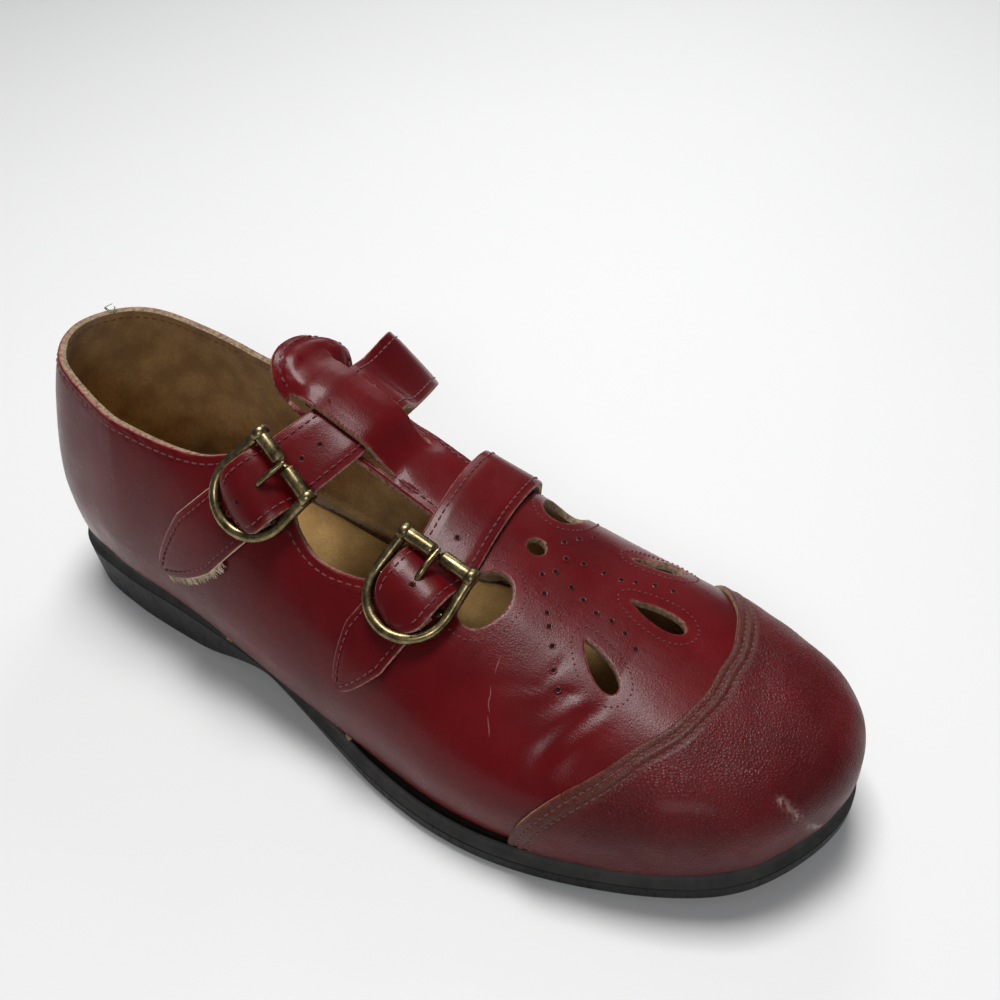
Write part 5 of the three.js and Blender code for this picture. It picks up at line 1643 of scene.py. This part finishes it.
def build_strap(which, rows, buckle, pointed, holes):
    over = LOOP_TOP + GAP
    rise = 1 if pointed else REAR_CREST_RISE
    stops = [
        (at * LAST_LENGTH, girth * BALL_WIDTH, GAP + lift * STRAP_THICKNESS * (rise if lift > 4 else 1))
        for at, girth, lift in rows
    ]
    reach = BUCKLE_WIDTH / 2 - BUCKLE_WIRE / 2 - 3 * GAP
    bends = [(-BAR_SPACING * 1.15, GAP), (-BAR_SPACING * 0.85, 2 * GAP), (-BAR_SPACING * 0.5, over * 0.7)]
    bends += [(0, over), (reach * 0.5, over * 0.85), (reach, over * 0.5)]
    for distance, lift in bends:
        stops.append((*pattern_spot(buckle, distance), lift))

    def half(share, length):
        left = (1 - share) * length
        radius = STRAP_WIDTH / 2
        width = math.sqrt(max(radius**2 - (radius - left) ** 2, 0.02)) if left < radius else radius
        return min(width, max(0.6, min(radius, share * length * 1.1))) if pointed else width

    twist = (0, 1, 0) if pointed else REAR_TWIST
    ribbon = Ribbon(stops, STRAP_THICKNESS, half, pitch=0.9, round_end=STRAP_ROUND, twist=twist)
    ribbon.build(f"strap_{which}_leather", [STRAP_LEATHER, STRAP_EDGE, LINING], f"strap_{which}")
    lines = ribbon.edge_lines(8 if pointed else 2.2, ribbon.length - 4)
    across = np.linspace(-STRAP_WIDTH / 2 + STRAP_STITCH_IN, STRAP_WIDTH / 2 - STRAP_STITCH_IN, 16)
    for s in ((13.0,) if pointed else (2.4, 13.5)):
        lines.append(ribbon.seam(np.full(16, s), across))
    stitches(f"strap_{which}_stitches", lines, THREAD, pitch=2.35, length=1.75, radius=0.22)
    places, ups = [], []
    for at, girth in holes:
        s = ribbon.nearest(at * LAST_LENGTH, girth)
        place_at = ribbon.at(s, 0.0, ribbon.thickness + ribbon.puff + 0.02)
        places.append(place_at)
        ups.append(unit(ribbon.at(s, 0.0, ribbon.thickness + 2) - place_at))
    dimples(f"strap_{which}_holes", places, ups, 0.75, STRAP_LEATHER)


REAR_HOLES = [(0.355, -38.5), (0.347, -43.2), (0.408, -16.0), (0.395, -21.4)]
FRONT_HOLES = [(0.556, -31.1), (0.567, -14.5)]

# Punched dots on the vamp: at, across the last in millimetres from its middle line
DOT_ROWS = [
    [(0.657, 14.4), (0.665, 18.9), (0.674, 23.3)],
    [(0.67, 9.8), (0.687, 11.6), (0.709, 12.6), (0.727, 13.7), (0.74, 15.6), (0.757, 18.4), (0.775, 20.1)],
    [(0.692, 2.9), (0.709, 1.5), (0.727, 0.2), (0.744, 0.5), (0.762, -0.6), (0.779, -3.0)],
    [(0.67, 4.4), (0.661, 1.4), (0.674, -3.0), (0.687, -7.3), (0.696, -10.1), (0.709, -14.1), (0.722, -19.2),
     (0.735, -22.6)],
]


def top_spot(along, across):
    """Where a spot seen from above lies on the last, with its normal."""
    girths = np.arange(-60, 60.1, GIRTH_STEP)
    row = spot(np.full(len(girths), along), girths)
    xs = row[:, 0]
    peak = np.argmin(xs), np.argmax(xs)
    girth = np.interp(across - MIDDLE[1], xs[peak[0] : peak[1] + 1], girths[peak[0] : peak[1] + 1])
    return spot(along, girth), normal(along, girth)


def build_dots():
    places, ups = [], []
    for row in DOT_ROWS:
        for at, across in row:
            place_at, up = top_spot(at * LAST_LENGTH, across)
            places.append(place_at + up * 0.06)
            ups.append(up)
    dimples("vamp_dots", places, ups, 0.72, LEATHER, raise_rim=0.08)


# Scratches on the outer side: from and to as at, across share and height
SCRATCHES = [
    ((0.67, -0.261, 49.5), (0.674, -0.308, 47.4)),
    ((0.676, -0.338, 45.9), (0.685, -0.395, 42.0)),
    ((0.686, -0.4, 41.8), (0.694, -0.441, 38.5)),
]


def build_scratches():
    """Fine pale scratches on the outer side of the vamp."""
    rng = random.Random(11)
    parts = []
    for ends in SCRATCHES:
        start, end = (share_spot(*spot_at) for spot_at in ends)
        spots = [
            start + (end - start) * t + np.array([rng.uniform(-0.2, 0.2), rng.uniform(-0.3, 0.3), 0])
            for t in (0, 0.3, 0.6, 1)
        ]
        line = settled(catmull(spots, 24), 0.0)
        parts.append(tube(line, 0.16 * np.sin(np.linspace(0.1, np.pi - 0.1, len(line))), 6))
    points, faces = merged(parts)
    marks = {"edge": np.zeros(len(points))}
    make_object("vamp_scratches", points, faces, [SCRATCH], None, marks)


def build_loose_thread():
    """A small tuft of thread at the back of the collar's inner side."""
    rng = random.Random(7)
    base = np.array([11.5, 114.6, 83.6])
    parts = []
    for _ in range(7):
        tip = base + np.array([rng.uniform(-3.5, 3.5), rng.uniform(-2, 2.5), rng.uniform(0.5, 3)])
        bend = (base + tip) / 2 + np.array([rng.uniform(-2, 2), rng.uniform(-2, 2), rng.uniform(0, 2)])
        parts.append(tube(catmull([base, bend, tip], 14), 0.11, 6))
    points, faces = merged(parts)
    make_object("loose_thread", points, faces, [GREEN_THREAD])


# Camera, light and floor


VIEW_AZIMUTH, VIEW_ELEVATION, VIEW_ROLL = -55.35, 41.0, -3.5
VIEW_TARGET = (79.05, 23.65, -4.08)
VIEW_DISTANCE = 419.51
VIEW_LENS = 42.78


def add_camera():
    azimuth, elevation, roll = (math.radians(v) for v in (VIEW_AZIMUTH, VIEW_ELEVATION, VIEW_ROLL))
    level = math.cos(elevation)
    back = Vector((math.sin(azimuth) * level, -math.cos(azimuth) * level, math.sin(elevation)))
    right = (-back).cross(Vector((0, 0, 1))).normalized()
    up = right.cross(-back)
    turned = right * math.cos(roll) + up * math.sin(roll)
    up = up * math.cos(roll) - right * math.sin(roll)
    where = (Vector(VIEW_TARGET) + back * VIEW_DISTANCE) * MM
    data = bpy.data.cameras.new("camera")
    data.lens = VIEW_LENS
    data.sensor_width = 36
    data.clip_start = 0.01
    camera = bpy.data.objects.new("camera", data)
    matrix = Matrix((turned, up, back)).transposed().to_4x4()
    matrix.translation = where
    camera.matrix_world = matrix
    bpy.context.scene.collection.objects.link(camera)
    bpy.context.scene.camera = camera


def add_area(name, where, toward, size, power):
    data = bpy.data.lights.new(name, "AREA")
    data.shape = "RECTANGLE"
    data.size, data.size_y = size
    data.energy = power
    light = bpy.data.objects.new(name, data)
    light.location = where
    light.rotation_euler = (Vector(toward) - Vector(where)).to_track_quat("-Z", "Y").to_euler()
    bpy.context.scene.collection.objects.link(light)


def add_studio():
    world = bpy.data.worlds.new("studio")
    world.use_nodes = True
    background = world.node_tree.nodes["Background"]
    background.inputs["Color"].default_value = (0.9, 0.93, 1.0, 1)
    background.inputs["Strength"].default_value = 0.16
    bpy.context.scene.world = world
    add_area("top_light", (0.15, 0.1, 1.1), (0, 0, 0.05), (0.42, 0.36), 9.8)
    add_area("front_light", (-0.8, -0.5, 0.75), (0, 0, 0.03), (0.35, 0.3), 2.6)
    add_area("rim_light", (0.8, 0.3, 0.6), (0, 0, 0.06), (0.35, 0.5), 1.6)
    bpy.context.scene.view_settings.view_transform = "Standard"
    mesh = bpy.data.meshes.new("floor")
    size = 3.0
    corners = [(-size, -size, 0), (size, -size, 0), (size, size, 0), (-size, size, 0)]
    mesh.from_pydata(corners, [], [(0, 1, 2, 3)])
    mesh.materials.append(floor_paint())
    floor = bpy.data.objects.new("floor", mesh)
    floor.location = (0, 0, -0.0003)
    bpy.context.scene.collection.objects.link(floor)


build_sole()
build_insole()
build_upper()
build_cap()
build_dots()
build_loose_thread()
build_scratches()
STRAPS = [("rear", REAR_STRAP, False, REAR_HOLES), ("front", FRONT_STRAP, True, FRONT_HOLES)]
for which, strap_rows, pointed, holes in STRAPS:
    buckle_frame = build_buckle(which, BUCKLES[which])
    build_tab(which, BUCKLES[which], TABS[which], buckle_frame)
    build_strap(which, strap_rows, BUCKLES[which], pointed, holes)
add_camera()
add_studio()

bpy.context.view_layer.update()
